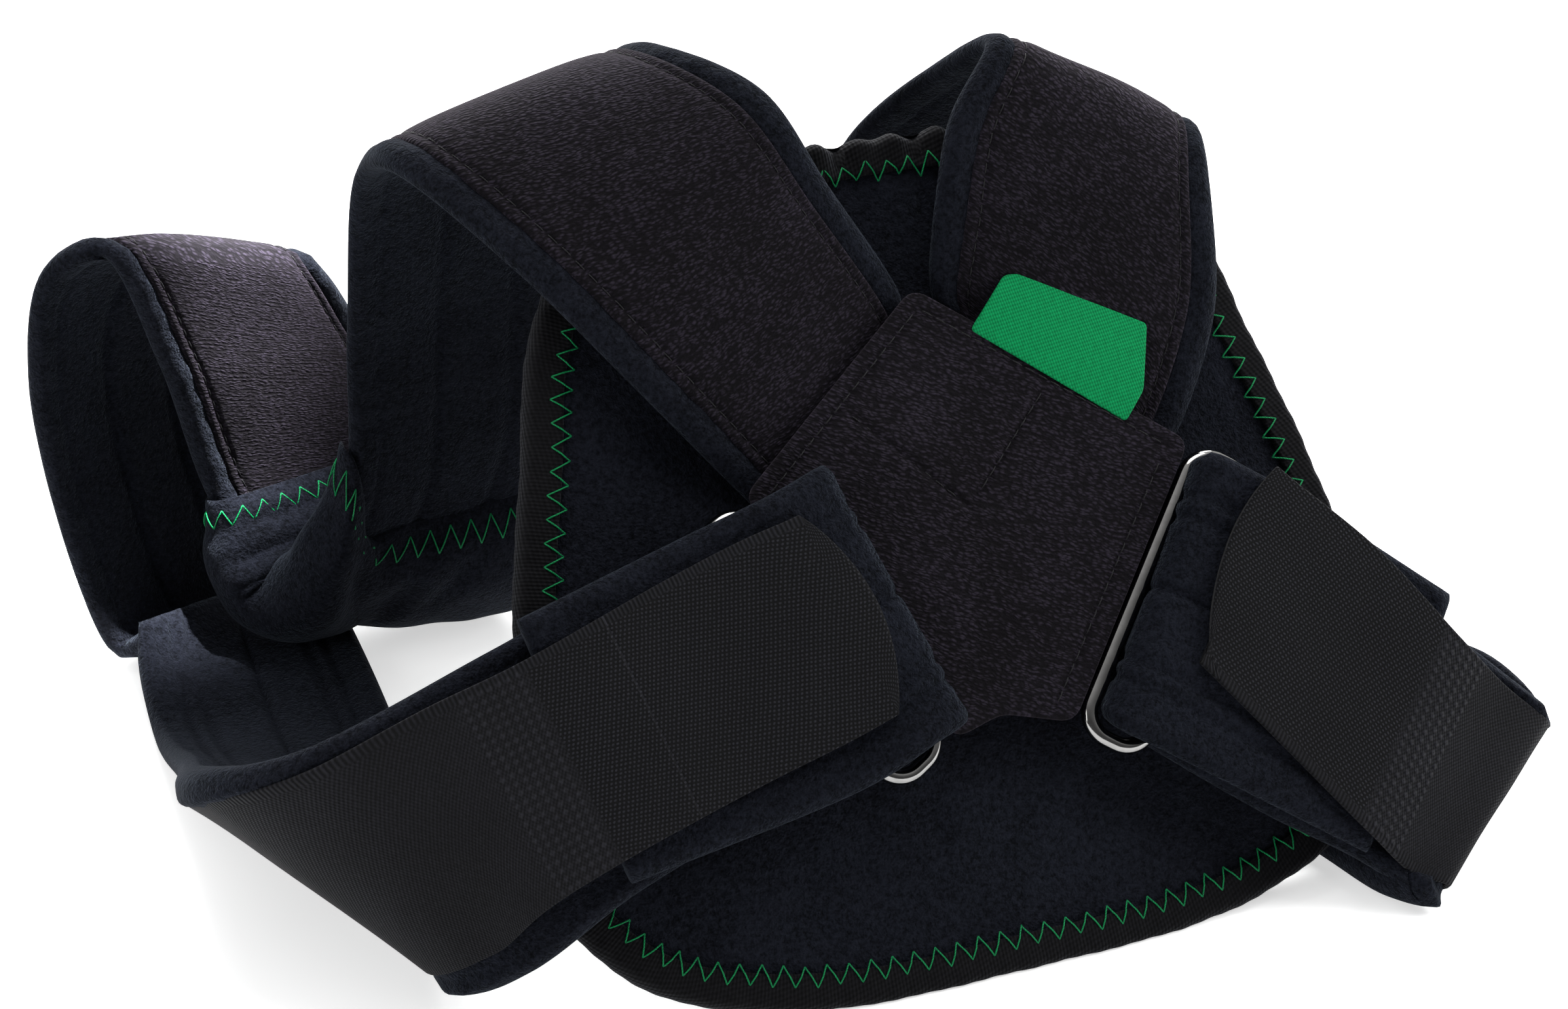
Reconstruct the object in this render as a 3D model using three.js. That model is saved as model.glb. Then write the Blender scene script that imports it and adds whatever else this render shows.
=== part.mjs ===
// A shoulder brace for the collar bone, lying as it does off the body: a padded back with a cross panel,
// two padded shoulder straps that loop over and under, two wire rings and two hook closings.
// Millimetres, +Z up. The back faces -Y and the open arm loops lie behind it.
import * as THREE from "three";

// Cloth thicknesses
const STRAP_THICK = 4.4;
const END_THICK = 3.2;
const COVER_THICK = 1.1;
const HOOK_THICK = 1.4;
const LABEL_THICK = 0.9;
const PANEL_THICK = 2;
const PAD_THICK = 5;
const BINDING_THICK = 1;
const SLEEVE_WALL = 3;
const GAP = 0.35;
const COVER_GAP = 0.55;
const HOOK_GAP = 0.5;
const CROWN = 1.3;
const CROWN_FROM = 1;

// Widths and insets
const COVER_INSET = 0.12;
const HOOK_INSET = 0.085;
const BINDING_REACH = 5.5;
const SLEEVE_SPARE = 3;
const SLEEVE_EASE = 0.8;
const SLEEVE_SWELL = 2.5;
const LABEL_NEAR = 0.2;
const LABEL_FAR = 0.72;
const EDGE_ROUND = 1.3;

// The back: yaw and lean of its plane, and the height of its lower middle over the floor
const BACK_YAW = THREE.MathUtils.degToRad(22);
const BACK_LEAN = THREE.MathUtils.degToRad(35);
const BACK_FOOT = 5;
const BACK_CURL = 5;
const BACK_HALF_WIDTH = 98;
const BACK_MIDDLE = 82;

// Rings
const RING_LONG = 70;
const RING_SHORT = 18;
const RING_WIRE = 3.6;
const RING_CORNER = 6;
const RING_LEVEL = 7.5;
const PANEL_LEVEL = 7.4;

// Colours
const VELOUR = 0x1b2029;
const COVER = 0x1d191b;
const JERSEY = 0x15161a;
const WOVEN = 0x191819;
const HOOK = 0x2b2e2d;
const GREEN = 0x16875b;
const METAL = 0x6f7376;

// Half outline of the back, in its own plane: across from the middle, up from the foot
const BACK_OUTLINE = [
  { across: 0, up: -3.6 },
  { across: 34, up: -3.2 },
  { across: 60, up: 1.2 },
  { across: 80, up: 10 },
  { across: 93, up: 26 },
  { across: 97, up: 47 },
  { across: 94, up: 70 },
  { across: 89, up: 95 },
  { across: 82, up: 120 },
  { across: 76, up: 142 },
  { across: 65, up: 160 },
  { across: 44, up: 169 },
  { across: 20, up: 172 },
];

// Corners of the cross panel in the plane of the back
const PANEL_CORNERS = [
  { across: -42, up: 104 },
  { across: 4, up: 140 },
  { across: 58, up: 97 },
  { across: 18.5, up: 44 },
  { across: 3, up: 49 },
  { across: -8, up: 46 },
];

// Each ring lies along a lower edge of the panel: middle and direction of its long side
const LEFT_RING = { across: -33.6, up: 70.2, along: [0.507, -0.862] };
const RIGHT_RING = { across: 46.1, up: 64.4, along: [-0.602, -0.799] };

const ACROSS = new THREE.Vector3(Math.cos(BACK_YAW), Math.sin(BACK_YAW), 0);
const UP_SLOPE = new THREE.Vector3(
  -Math.sin(BACK_LEAN) * Math.sin(BACK_YAW),
  Math.sin(BACK_LEAN) * Math.cos(BACK_YAW),
  Math.cos(BACK_LEAN),
);
const OUT = new THREE.Vector3().crossVectors(ACROSS, UP_SLOPE);

// A place given in the plane of the back, as the straps' tables need it
function onBack(across, up, out) {
  const p = new THREE.Vector3(0, 0, BACK_FOOT);
  p.addScaledVector(ACROSS, across);
  p.addScaledVector(UP_SLOPE, up);
  p.addScaledVector(OUT, out);
  return [p.x, p.y, p.z];
}

// Strap tables: a row for each section, with the strap's two edges. The outer face is on the side of
// (far - near) x travel.
const LEFT_SHOULDER = [
  { at: "under_panel", near: [-56, 37, 89], far: [-26, 72, 119] },
  { at: "panel_edge", near: [-61, 38, 94], far: [-27, 73, 123] },
  { at: "rise", near: [-82, 42, 116], far: [-42, 79, 145] },
  { at: "front", near: [-108, 53, 139], far: [-55, 86, 163] },
  { at: "top", near: [-134, 72, 152], far: [-73, 97, 167] },
  { at: "over", near: [-143, 91, 140], far: [-83, 113, 158] },
  { at: "down", near: [-148, 105, 95], far: [-92, 130, 109] },
  { at: "entry", near: [-152, 110, 47], far: [-98, 137, 53] },
  { at: "valley", near: [-168, 117, 17], far: [-117, 146, 13] },
  { at: "exit", near: [-184, 126, 40], far: [-138, 161, 38] },
  { at: "up", near: [-193, 122, 76], far: [-150, 158, 68] },
  { at: "arch", near: [-206, 116, 111], far: [-162, 151, 89] },
  { at: "left", near: [-223, 118, 76], far: [-182, 158, 60] },
  { at: "kink", near: [-212, 118, 14], far: [-172, 158, 14] },
  { at: "seam", near: [-210, 113, 5.5], far: [-169, 152, 5.5] },
];

const RIGHT_SHOULDER = [
  { at: "under_panel", near: [-19, 75, 119], far: [29, 67, 84] },
  { at: "panel_edge", near: [-20, 77, 123], far: [34, 73, 88] },
  { at: "rise", near: [-19, 80, 140], far: [42, 84, 112] },
  { at: "front", near: [-16, 86, 157], far: [41, 94, 134] },
  { at: "top", near: [-8, 98, 169], far: [39, 107, 142] },
  { at: "over", near: [-18, 113, 157], far: [34, 126, 128] },
  { at: "down", near: [-37, 126, 133], far: [20, 143, 104] },
  { at: "low", near: [-50, 141, 88], far: [8, 160, 74] },
  { at: "entry", near: [-56, 152, 48], far: [4, 171, 46] },
  { at: "valley", near: [-52, 143, 12], far: [7, 158, 12] },
  { at: "floor", near: [-34, 106, 3], far: [25, 116, 3.4] },
];

const LEFT_END = [
  { at: "seam", near: [-206.5, 112.5, 3.6], far: [-168, 149.5, 3.6] },
  { at: "floor", near: [-197, 84, 3.2], far: [-143, 98, 3.2] },
  { at: "turn", near: [-187, 42, 22], far: [-127, 36, 6] },
  { at: "fold", near: [-175, -4, 50], far: [-115, -21, 9] },
  { at: "front", near: onBack(-143, 72, -3), far: onBack(-105, 18, -3) },
  { at: "middle", near: onBack(-101, 84, 5.5), far: onBack(-82, 29, 5.5) },
  { at: "before_ring", near: onBack(-66, 94, 3.3), far: onBack(-36, 42, 3.3) },
  { at: "behind_bar", near: onBack(-54.5, 91, 2.9), far: onBack(-25.5, 42, 2.9) },
  { at: "through", near: onBack(-48, 94.8, 7.5), far: onBack(-19.2, 45.7, 7.5) },
  { at: "lap", near: onBack(-41.5, 99, 12.3), far: onBack(-12.8, 50, 12.3) },
  { at: "loop", near: onBack(-26.5, 107, 14.8), far: onBack(-8, 48.5, 14.8) },
  { at: "back", near: onBack(-40, 103, 17.4), far: onBack(-16, 45.5, 17.4) },
  { at: "over_bar", near: onBack(-60, 98, 13.4), far: onBack(-30, 40, 13.4) },
  { at: "raw_end", near: onBack(-97, 88.5, 11.8), far: onBack(-85, 31, 11.8) },
];

const RIGHT_END = [
  { at: "join", near: [-33.3, 104, 2.2], far: [26, 114, 2.8] },
  { at: "roll", near: [12, 80, 2.4], far: [56, 110, 24] },
  { at: "behind", near: [58, 43, 2.4], far: [86, 93, 26] },
  { at: "turn", near: [80, 25, 2.4], far: [107, 78, 24] },
  { at: "fold", near: [85.5, 17.5, 2.6], far: [115.5, 58, 23] },
  { at: "front", near: onBack(78, -1, 6), far: onBack(117, 39, 4) },
  { at: "middle", near: onBack(59, 15, 4.5), far: onBack(96, 61, 4.5) },
  { at: "behind_bar", near: onBack(34.7, 37.2, 3.2), far: onBack(68.8, 82.8, 3.2) },
  { at: "loop", near: onBack(28.5, 42, 7.5), far: onBack(62.5, 87.5, 7.5) },
  { at: "over_bar", near: onBack(34.7, 37.2, 11.9), far: onBack(68.8, 82.8, 11.9) },
  { at: "raw_end", near: onBack(78, 3, 12), far: onBack(109, 52, 12) },
];

// The hook strips leave the end strap and lie on its folded-back end, with a rounded tip
const LEFT_TONGUE = [
  { at: "step", near: onBack(-118, 75, 9), far: onBack(-103, 31, 8) },
  { at: "lap", near: onBack(-100, 79.5, 14.8), far: onBack(-88, 35.5, 14.8) },
  { at: "flat", near: onBack(-66, 90, 16.4), far: onBack(-54, 45, 16.4) },
  { at: "rise", near: onBack(-48, 95, 18.6), far: onBack(-34, 50, 18.8) },
  { at: "round", near: onBack(-36, 97.5, 20.4), far: onBack(-24, 53, 20.4) },
  { at: "tip", near: onBack(-28.5, 88, 20.6), far: onBack(-21, 61, 20.6) },
];

const RIGHT_TONGUE = [
  { at: "step", near: onBack(85, -4, 14.5), far: onBack(118, 31, 11) },
  { at: "lap", near: onBack(77, 6, 16), far: onBack(108, 43, 15.4) },
  { at: "flat", near: onBack(62, 28, 15.8), far: onBack(93, 66, 15.8) },
  { at: "round", near: onBack(46.5, 50, 16.4), far: onBack(76, 85, 16.4) },
  { at: "tip", near: onBack(51, 63, 16.6), far: onBack(62, 79, 16.6) },
];

// Steps from one row to the next, the same for every piece on a sheet so that layers stay apart
const PER_ROW = 4;

// A sheet is the surface between the two edge curves of a table
function sheetOf(rows) {
  const curve = (key) => new THREE.CatmullRomCurve3(rows.map((r) => new THREE.Vector3(...r[key])));
  return { near: curve("near"), far: curve("far"), last: rows.length - 1 };
}

// The place at row number u, share v of the way across, lifted off the sheet on its outer side
function placeOn(sheet, u, v, lift) {
  const at = (w) => {
    const t = THREE.MathUtils.clamp(w / sheet.last, 0, 1);
    return [sheet.near.getPoint(t), sheet.far.getPoint(t)];
  };
  const [near, far] = at(u);
  const [nearBack, farBack] = at(u - 0.04);
  const [nearOn, farOn] = at(u + 0.04);
  const place = near.clone().lerp(far, v);
  const travel = nearOn.lerp(farOn, v).sub(nearBack.lerp(farBack, v));
  const outer = far.clone().sub(near).cross(travel).normalize();
  return place.addScaledVector(outer, lift);
}

function widthAt(sheet, u) {
  return placeOn(sheet, u, 0, 0).distanceTo(placeOn(sheet, u, 1, 0));
}

// A padded band is crowned across its width, but lies flat where the panel holds it down
function crownAt(u, v) {
  const free = THREE.MathUtils.clamp(u - CROWN_FROM, 0, 1);
  return CROWN * free * Math.max(0, 4 * v * (1 - v));
}

// Cross-section of a padded band as share across and lift, with rounded edges
function bandProfile(width, { v0, v1, low, high }) {
  const e = EDGE_ROUND / width;
  const soft = (high - low) * 0.3;
  const mid = (v0 + v1) / 2;
  return [
    [v0 + e, high],
    [mid, high],
    [v1 - e, high],
    [v1, high - soft],
    [v1, low + soft],
    [v1 - e, low],
    [mid, low],
    [v0 + e, low],
    [v0, low + soft],
    [v0, high - soft],
  ];
}

// Cross-section of a thin tape
function tapeProfile({ v0, v1, low, high }) {
  const mid = (v0 + v1) / 2;
  return [
    [v0, high],
    [mid, high],
    [v1, high],
    [v1, low],
    [mid, low],
    [v0, low],
  ];
}

// Nothing soft reaches under the floor, or under what it lies on there: it is flattened
function settle(p, lowest = 0) {
  return new THREE.Vector3(p.x, p.y, Math.max(p.z, lowest));
}

// Rings of points joined into one closed solid. The second half of a ring is the other face of a band, and
// its squares are split along the same diagonal as the first, so that twisted layers stay parallel.
function skin(rings, capped) {
  const points = [];
  const index = [];
  const size = rings[0].length;
  for (const ring of rings) {
    for (const p of ring) {
      points.push(p.x, p.y, p.z);
    }
  }
  const last = capped ? rings.length - 1 : rings.length;
  for (let i = 0; i < last; i += 1) {
    const next = (i + 1) % rings.length;
    for (let j = 0; j < size; j += 1) {
      const k = (j + 1) % size;
      const a = i * size + j;
      const b = i * size + k;
      const c = next * size + k;
      const d = next * size + j;
      if (j < size / 2) {
        index.push(a, b, c, a, c, d);
      } else {
        index.push(a, b, d, b, c, d);
      }
    }
  }
  if (capped) {
    const end = (rings.length - 1) * size;
    for (let j = 1; j < size - 1; j += 1) {
      index.push(0, j + 1, j);
      index.push(end, end + j, end + j + 1);
    }
  }
  return outward(points, index);
}

// A closed surface has its triangles facing outward
function outward(points, index) {
  let volume = 0;
  const at = (i) => new THREE.Vector3(points[3 * i], points[3 * i + 1], points[3 * i + 2]);
  for (let i = 0; i < index.length; i += 3) {
    volume += at(index[i]).dot(at(index[i + 1]).cross(at(index[i + 2])));
  }
  if (volume < 0) {
    for (let i = 0; i < index.length; i += 3) {
      [index[i], index[i + 1]] = [index[i + 1], index[i]];
    }
  }
  const geometry = new THREE.BufferGeometry();
  geometry.setAttribute("position", new THREE.Float32BufferAttribute(points, 3));
  geometry.setIndex(index);
  geometry.computeVertexNormals();
  return geometry;
}

// Sections of a band of cloth on a sheet between rows from and to
function sections(sheet, from, to, cut) {
  const steps = Math.round((to - from) * PER_ROW);
  return Array.from({ length: steps + 1 }, (_, i) => {
    const u = from + i / PER_ROW;
    const profile = cut.thin ? tapeProfile(cut) : bandProfile(widthAt(sheet, u), cut);
    const rise = (v) => (cut.crowned ? crownAt(u, v) : 0);
    return profile.map(([v, lift]) => settle(placeOn(sheet, u, v, lift + rise(v))));
  });
}

function band(sheet, from, to, cut) {
  return skin(sections(sheet, from, to, cut), true);
}

// A hook strip: first on the end strap's outer face, then its own tongue
function hookStrip(sheet, from, to, tongue) {
  const low = END_THICK / 2 + HOOK_GAP;
  const middle = low + HOOK_THICK / 2;
  const on = { v0: HOOK_INSET, v1: 1 - HOOK_INSET, low, high: low + HOOK_THICK, thin: true };
  const leave = [to - 1 / PER_ROW, to].map((u) => ({
    near: placeOn(sheet, u, on.v0, middle).toArray(),
    far: placeOn(sheet, u, on.v1, middle).toArray(),
  }));
  const free = sheetOf([...leave, ...tongue]);
  const off = { v0: 0, v1: 1, low: -HOOK_THICK / 2, high: HOOK_THICK / 2, thin: true };
  const first = sections(sheet, from, to, on);
  const rest = sections(free, 1 + 1 / PER_ROW, free.last, off);
  return skin([...first, ...rest], true);
}

// An open-ended tube of cloth round a strap between rows from and to, swelling on its inner side
function sleeve(sheet, from, to) {
  const steps = Math.round((to - from) * PER_ROW);
  const loops = [];
  for (let i = 0; i <= steps; i += 1) {
    const u = from + i / PER_ROW;
    const width = widthAt(sheet, u);
    const swell = SLEEVE_SWELL * Math.sin((Math.PI * i) / steps);
    const spare = SLEEVE_SPARE / width;
    const wall = SLEEVE_WALL / width;
    const low = -STRAP_THICK / 2 - SLEEVE_EASE;
    const high = STRAP_THICK / 2 + COVER_GAP + COVER_THICK + SLEEVE_EASE;
    const hole = bandProfile(width, { v0: -spare, v1: 1 + spare, low, high });
    const body = bandProfile(width, {
      v0: -spare - wall,
      v1: 1 + spare + wall,
      low: low - SLEEVE_WALL - swell,
      high: high + SLEEVE_WALL,
    });
    const put = ([v, lift]) => settle(placeOn(sheet, u, v, lift + crownAt(u, v)));
    loops.push({ hole: hole.map(put), body: body.map(put) });
  }
  const points = [];
  const index = [];
  const size = loops[0].hole.length;
  for (const { hole, body } of loops) {
    for (const p of [...body, ...hole]) {
      points.push(p.x, p.y, p.z);
    }
  }
  const row = 2 * size;
  for (let j = 0; j < size; j += 1) {
    const k = (j + 1) % size;
    for (let i = 0; i < steps; i += 1) {
      const a = i * row;
      const b = a + row;
      index.push(a + j, a + k, b + k, a + j, b + k, b + j);
      index.push(a + size + k, a + size + j, b + size + j, a + size + k, b + size + j, b + size + k);
    }
    const end = steps * row;
    index.push(j, size + k, k, j, size + j, size + k);
    index.push(end + j, end + k, end + size + k, end + j, end + size + k, end + size + j);
  }
  return outward(points, index);
}

// The back's outline as one closed smooth loop
const OUTLINE_STEPS = 56;
function backLoop() {
  const half = BACK_OUTLINE.map((r) => new THREE.Vector3(r.across, r.up, 0));
  const other = BACK_OUTLINE.slice(1).reverse().map((r) => new THREE.Vector3(-r.across, r.up, 0));
  const curve = new THREE.CatmullRomCurve3([...half, ...other], true);
  return curve.getSpacedPoints(OUTLINE_STEPS).slice(0, OUTLINE_STEPS);
}

// The sides of the back curl away from the wearer's side
function curl(across) {
  return -BACK_CURL * (across / BACK_HALF_WIDTH) ** 2;
}

function backPlace(across, up, out, lowest) {
  return settle(new THREE.Vector3(...onBack(across, up, out + curl(across))), lowest);
}

function backPad() {
  const shares = [1, 0.82, 0.6, 0.35];
  const lowest = BINDING_THICK + 3 * GAP;
  const loop = backLoop();
  const points = [];
  const index = [];
  const put = (p) => points.push(p.x, p.y, p.z);
  for (const out of [0, -PAD_THICK]) {
    for (const share of shares) {
      for (const p of loop) {
        put(backPlace(p.x * share, BACK_MIDDLE + (p.y - BACK_MIDDLE) * share, out, lowest));
      }
    }
    put(backPlace(0, BACK_MIDDLE, out, lowest));
  }
  const size = loop.length;
  const face = shares.length * size + 1;
  for (let j = 0; j < size; j += 1) {
    const k = (j + 1) % size;
    index.push(face + j, face + k, k, face + j, k, j);
    for (let s = 0; s < shares.length - 1; s += 1) {
      const a = s * size;
      const b = a + size;
      index.push(a + j, a + k, b + k, a + j, b + k, b + j);
      index.push(face + a + k, face + a + j, face + b + j, face + a + k, face + b + j, face + b + k);
    }
    const inner = (shares.length - 1) * size;
    index.push(inner + j, inner + k, face - 1);
    index.push(face + inner + k, face + inner + j, 2 * face - 1);
  }
  return outward(points, index);
}

// The binding folds round the rim of the back
function backBinding() {
  const loop = backLoop();
  const near = GAP;
  const away = GAP + BINDING_THICK;
  const under = BINDING_THICK;
  const section = [
    [-BINDING_REACH, near, under],
    [-BINDING_REACH, away, 0],
    [0, away, 0],
    [away, 0, 0],
    [away, -PAD_THICK, 0],
    [0, -PAD_THICK - away, 0],
    [-BINDING_REACH, -PAD_THICK - away, 0],
    [-BINDING_REACH, -PAD_THICK - near, under],
    [near / 2, -PAD_THICK - near, under],
    [near, -PAD_THICK, under],
    [near, 0, under],
    [near / 2, near, under],
  ];
  const rings = loop.map((p, i) => {
    const before = loop[(i + loop.length - 1) % loop.length];
    const after = loop[(i + 1) % loop.length];
    const side = new THREE.Vector3(after.y - before.y, before.x - after.x, 0).normalize();
    const at = (reach) => [p.x + side.x * reach, p.y + side.y * reach];
    return section.map(([reach, out, lowest]) => backPlace(...at(reach), out, lowest));
  });
  return skin(rings, false);
}

const BACK_MATRIX = new THREE.Matrix4()
  .makeBasis(ACROSS, UP_SLOPE, OUT)
  .setPosition(0, 0, BACK_FOOT);

function crossPanel() {
  const shape = new THREE.Shape(PANEL_CORNERS.map((c) => new THREE.Vector2(c.across, c.up)));
  const geometry = new THREE.ExtrudeGeometry(shape, { depth: PANEL_THICK, bevelEnabled: false });
  return geometry.translate(0, 0, PANEL_LEVEL).applyMatrix4(BACK_MATRIX);
}

// A rounded rectangle of round wire
function ring({ across, up, along }) {
  const sides = 10;
  const perCorner = 5;
  const long = (RING_LONG - RING_WIRE) / 2;
  const short = (RING_SHORT - RING_WIRE) / 2;
  const path = [];
  for (const [sx, sy, start] of [[1, 1, 0], [-1, 1, 1], [-1, -1, 2], [1, -1, 3]]) {
    for (let i = 0; i <= perCorner; i += 1) {
      const angle = (Math.PI / 2) * (start + i / perCorner);
      const x = sx * (long - RING_CORNER) + RING_CORNER * Math.cos(angle);
      const y = sy * (short - RING_CORNER) + RING_CORNER * Math.sin(angle);
      path.push(new THREE.Vector2(x, y));
    }
  }
  const rings = path.map((p, i) => {
    const before = path[(i + path.length - 1) % path.length];
    const after = path[(i + 1) % path.length];
    const side = new THREE.Vector2(after.y - before.y, before.x - after.x).normalize();
    return Array.from({ length: sides }, (_, j) => {
      const angle = (2 * Math.PI * j) / sides;
      const x = p.x + (side.x * RING_WIRE * Math.cos(angle)) / 2;
      const y = p.y + (side.y * RING_WIRE * Math.cos(angle)) / 2;
      const a = across + along[0] * x - along[1] * y;
      const b = up + along[1] * x + along[0] * y;
      return new THREE.Vector3(...onBack(a, b, RING_LEVEL + (RING_WIRE * Math.sin(angle)) / 2));
    });
  });
  return skin(rings, false);
}

const WHOLE = { v0: 0, v1: 1, low: -STRAP_THICK / 2, high: STRAP_THICK / 2, crowned: true };
const END = { v0: 0, v1: 1, low: -END_THICK / 2, high: END_THICK / 2 };
const coverLow = STRAP_THICK / 2 + COVER_GAP;
const coverHigh = coverLow + COVER_THICK;
const COVERED = { v0: COVER_INSET, v1: 1 - COVER_INSET, low: coverLow, high: coverHigh, crowned: true, thin: true };
const LABEL = {
  v0: LABEL_NEAR,
  v1: LABEL_FAR,
  low: coverHigh + GAP,
  high: coverHigh + GAP + LABEL_THICK,
  crowned: true,
  thin: true,
};

const leftShoulder = sheetOf(LEFT_SHOULDER);
const rightShoulder = sheetOf(RIGHT_SHOULDER);
const leftEnd = sheetOf(LEFT_END);
const rightEnd = sheetOf(RIGHT_END);

const pieces = {
  back_pad: [backPad(), VELOUR],
  back_pad_binding: [backBinding(), JERSEY],
  centre_panel: [crossPanel(), WOVEN],
  left_ring: [ring(LEFT_RING), METAL],
  right_ring: [ring(RIGHT_RING), METAL],
  left_shoulder_strap: [band(leftShoulder, 0, leftShoulder.last, WHOLE), VELOUR],
  right_shoulder_strap: [band(rightShoulder, 0, rightShoulder.last, WHOLE), VELOUR],
  left_shoulder_cover: [band(leftShoulder, 0, leftShoulder.last - 0.5, COVERED), COVER],
  right_shoulder_cover: [band(rightShoulder, 0, rightShoulder.last - 1, COVERED), COVER],
  left_end_strap: [band(leftEnd, 0, leftEnd.last, END), VELOUR],
  right_end_strap: [band(rightEnd, 0, rightEnd.last, END), VELOUR],
  left_hook_strip: [hookStrip(leftEnd, 0.5, 4, LEFT_TONGUE), HOOK],
  right_hook_strip: [hookStrip(rightEnd, 3.25, 4.5, RIGHT_TONGUE), HOOK],
  left_armpit_pad: [sleeve(leftShoulder, 7.25, 9), VELOUR],
  right_armpit_pad: [sleeve(rightShoulder, 7.75, 9.25), VELOUR],
  label_tab: [band(rightShoulder, 1, 1.75, LABEL), GREEN],
};

const group = new THREE.Group();
group.name = "clavicle_brace";
for (const [name, [geometry, colour]] of Object.entries(pieces)) {
  const metal = colour === METAL;
  const material = new THREE.MeshStandardMaterial({
    color: colour,
    roughness: metal ? 0.2 : 0.9,
    metalness: metal ? 1 : 0,
  });
  const mesh = new THREE.Mesh(geometry, material);
  mesh.name = name;
  group.add(mesh);
}

// The origin is the middle of the box at the floor
const box = new THREE.Box3().setFromObject(group);
const middle = box.getCenter(new THREE.Vector3());
for (const mesh of group.children) {
  mesh.geometry.translate(-middle.x, -middle.y, -box.min.z);
}

export default group;
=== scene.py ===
"""Looks of a clavicle brace: velour straps and pads, knit covers, hook tape, rings, stitching and stage."""

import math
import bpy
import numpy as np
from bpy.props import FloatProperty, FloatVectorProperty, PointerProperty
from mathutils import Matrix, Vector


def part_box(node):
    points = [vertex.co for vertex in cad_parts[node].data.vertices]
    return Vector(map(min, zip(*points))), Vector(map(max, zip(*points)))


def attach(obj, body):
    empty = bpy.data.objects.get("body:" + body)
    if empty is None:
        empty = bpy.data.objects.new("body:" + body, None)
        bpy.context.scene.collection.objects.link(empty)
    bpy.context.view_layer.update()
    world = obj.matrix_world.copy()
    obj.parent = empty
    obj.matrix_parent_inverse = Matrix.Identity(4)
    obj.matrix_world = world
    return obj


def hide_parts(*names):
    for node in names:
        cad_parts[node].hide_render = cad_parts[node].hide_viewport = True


bl_info = {
    "name": "Clavicle brace",
    "version": (1, 0, 0),
    "blender": (4, 5, 0),
    "location": "3D View > Sidebar > Brace",
    "description": "Builds the soft pieces, rings and stitching of a clavicle brace on its packed frame",
    "category": "Object",
}

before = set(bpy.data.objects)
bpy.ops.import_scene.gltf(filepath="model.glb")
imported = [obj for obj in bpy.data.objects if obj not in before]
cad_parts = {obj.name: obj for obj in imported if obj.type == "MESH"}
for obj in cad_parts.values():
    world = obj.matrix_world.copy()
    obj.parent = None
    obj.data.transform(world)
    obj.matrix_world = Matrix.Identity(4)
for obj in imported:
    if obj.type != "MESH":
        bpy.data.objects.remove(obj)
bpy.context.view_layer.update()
MM = 0.001
UV_NAME = "cloth"

# The back's plane, as the construction has it: yaw, lean and the height of its foot, in millimetres
BACK_YAW = math.radians(22)
BACK_LEAN = math.radians(35)
BACK_FOOT = 5.0
ACROSS = np.array([math.cos(BACK_YAW), math.sin(BACK_YAW), 0.0])
UP_SLOPE = np.array([
    -math.sin(BACK_LEAN) * math.sin(BACK_YAW),
    math.sin(BACK_LEAN) * math.cos(BACK_YAW),
    math.cos(BACK_LEAN),
])
OUT = np.cross(ACROSS, UP_SLOPE)


def on_back(across, up, out):
    """A place given in the plane of the back, in millimetres."""
    across, up, out = (np.asarray(x, float)[..., None] for x in (across, up, out))
    return np.array([0.0, 0.0, BACK_FOOT]) + across * ACROSS + up * UP_SLOPE + out * OUT


def lifted(flat, out):
    """Places from pairs of across and up in the plane of the back, lifted out of it."""
    return on_back(flat[..., 0], flat[..., 1], out)


def spot(across, up, out):
    """One row's edge in the plane of the back."""
    return tuple(on_back(across, up, out))


# Rings: the middle of each and the direction of its long side, in the plane of the back
RING_LEVEL = 7.5
LEFT_RING = {"across": -33.6, "up": 70.2, "along": (0.507, -0.862)}
RIGHT_RING = {"across": 46.1, "up": 64.4, "along": (-0.602, -0.799)}

# The frame's origin is the middle of the whole box, so the left ring tells where the tables' origin lies
RING_BOX = [np.array(c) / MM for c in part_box("left_ring")]
RING_PLACE = on_back(LEFT_RING["across"], LEFT_RING["up"], RING_LEVEL)
SHIFT = (RING_BOX[0] + RING_BOX[1]) / 2 - RING_PLACE

# Half outline of the back pad: across from the middle and up from the foot
BACK_OUTLINE = [
    {"across": 0, "up": -3.6},
    {"across": 34, "up": -3.2},
    {"across": 60, "up": 1.2},
    {"across": 80, "up": 10},
    {"across": 93, "up": 26},
    {"across": 97, "up": 47},
    {"across": 94, "up": 70},
    {"across": 89, "up": 95},
    {"across": 82, "up": 120},
    {"across": 76, "up": 142},
    {"across": 65, "up": 160},
    {"across": 44, "up": 169},
    {"across": 20, "up": 172},
]
BACK_MIDDLE = 82.0
BACK_HALF_WIDTH = 98.0

# Corners of the cross panel, and its sewn lines, in the plane of the back
PANEL_CORNERS = [
    {"across": -42, "up": 104},
    {"across": 4, "up": 140},
    {"across": 58, "up": 97},
    {"across": 18.5, "up": 44},
    {"across": 3, "up": 49},
    {"across": -8, "up": 46},
]
PANEL_LEVEL = 7.4
PANEL_SEAMS = [
    {"from": (-37.5, 103.5), "to": (3.5, 135.8)},
    {"from": (4.5, 135.6), "to": (53.5, 96.6)},
    {"from": (50.5, 94.0), "to": (14.5, 47.0)},
    {"from": (-16.1, 116.5), "to": (5.6, 92.6)},
    {"from": (27.5, 113.6), "to": (6.6, 93.4)},
]

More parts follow.
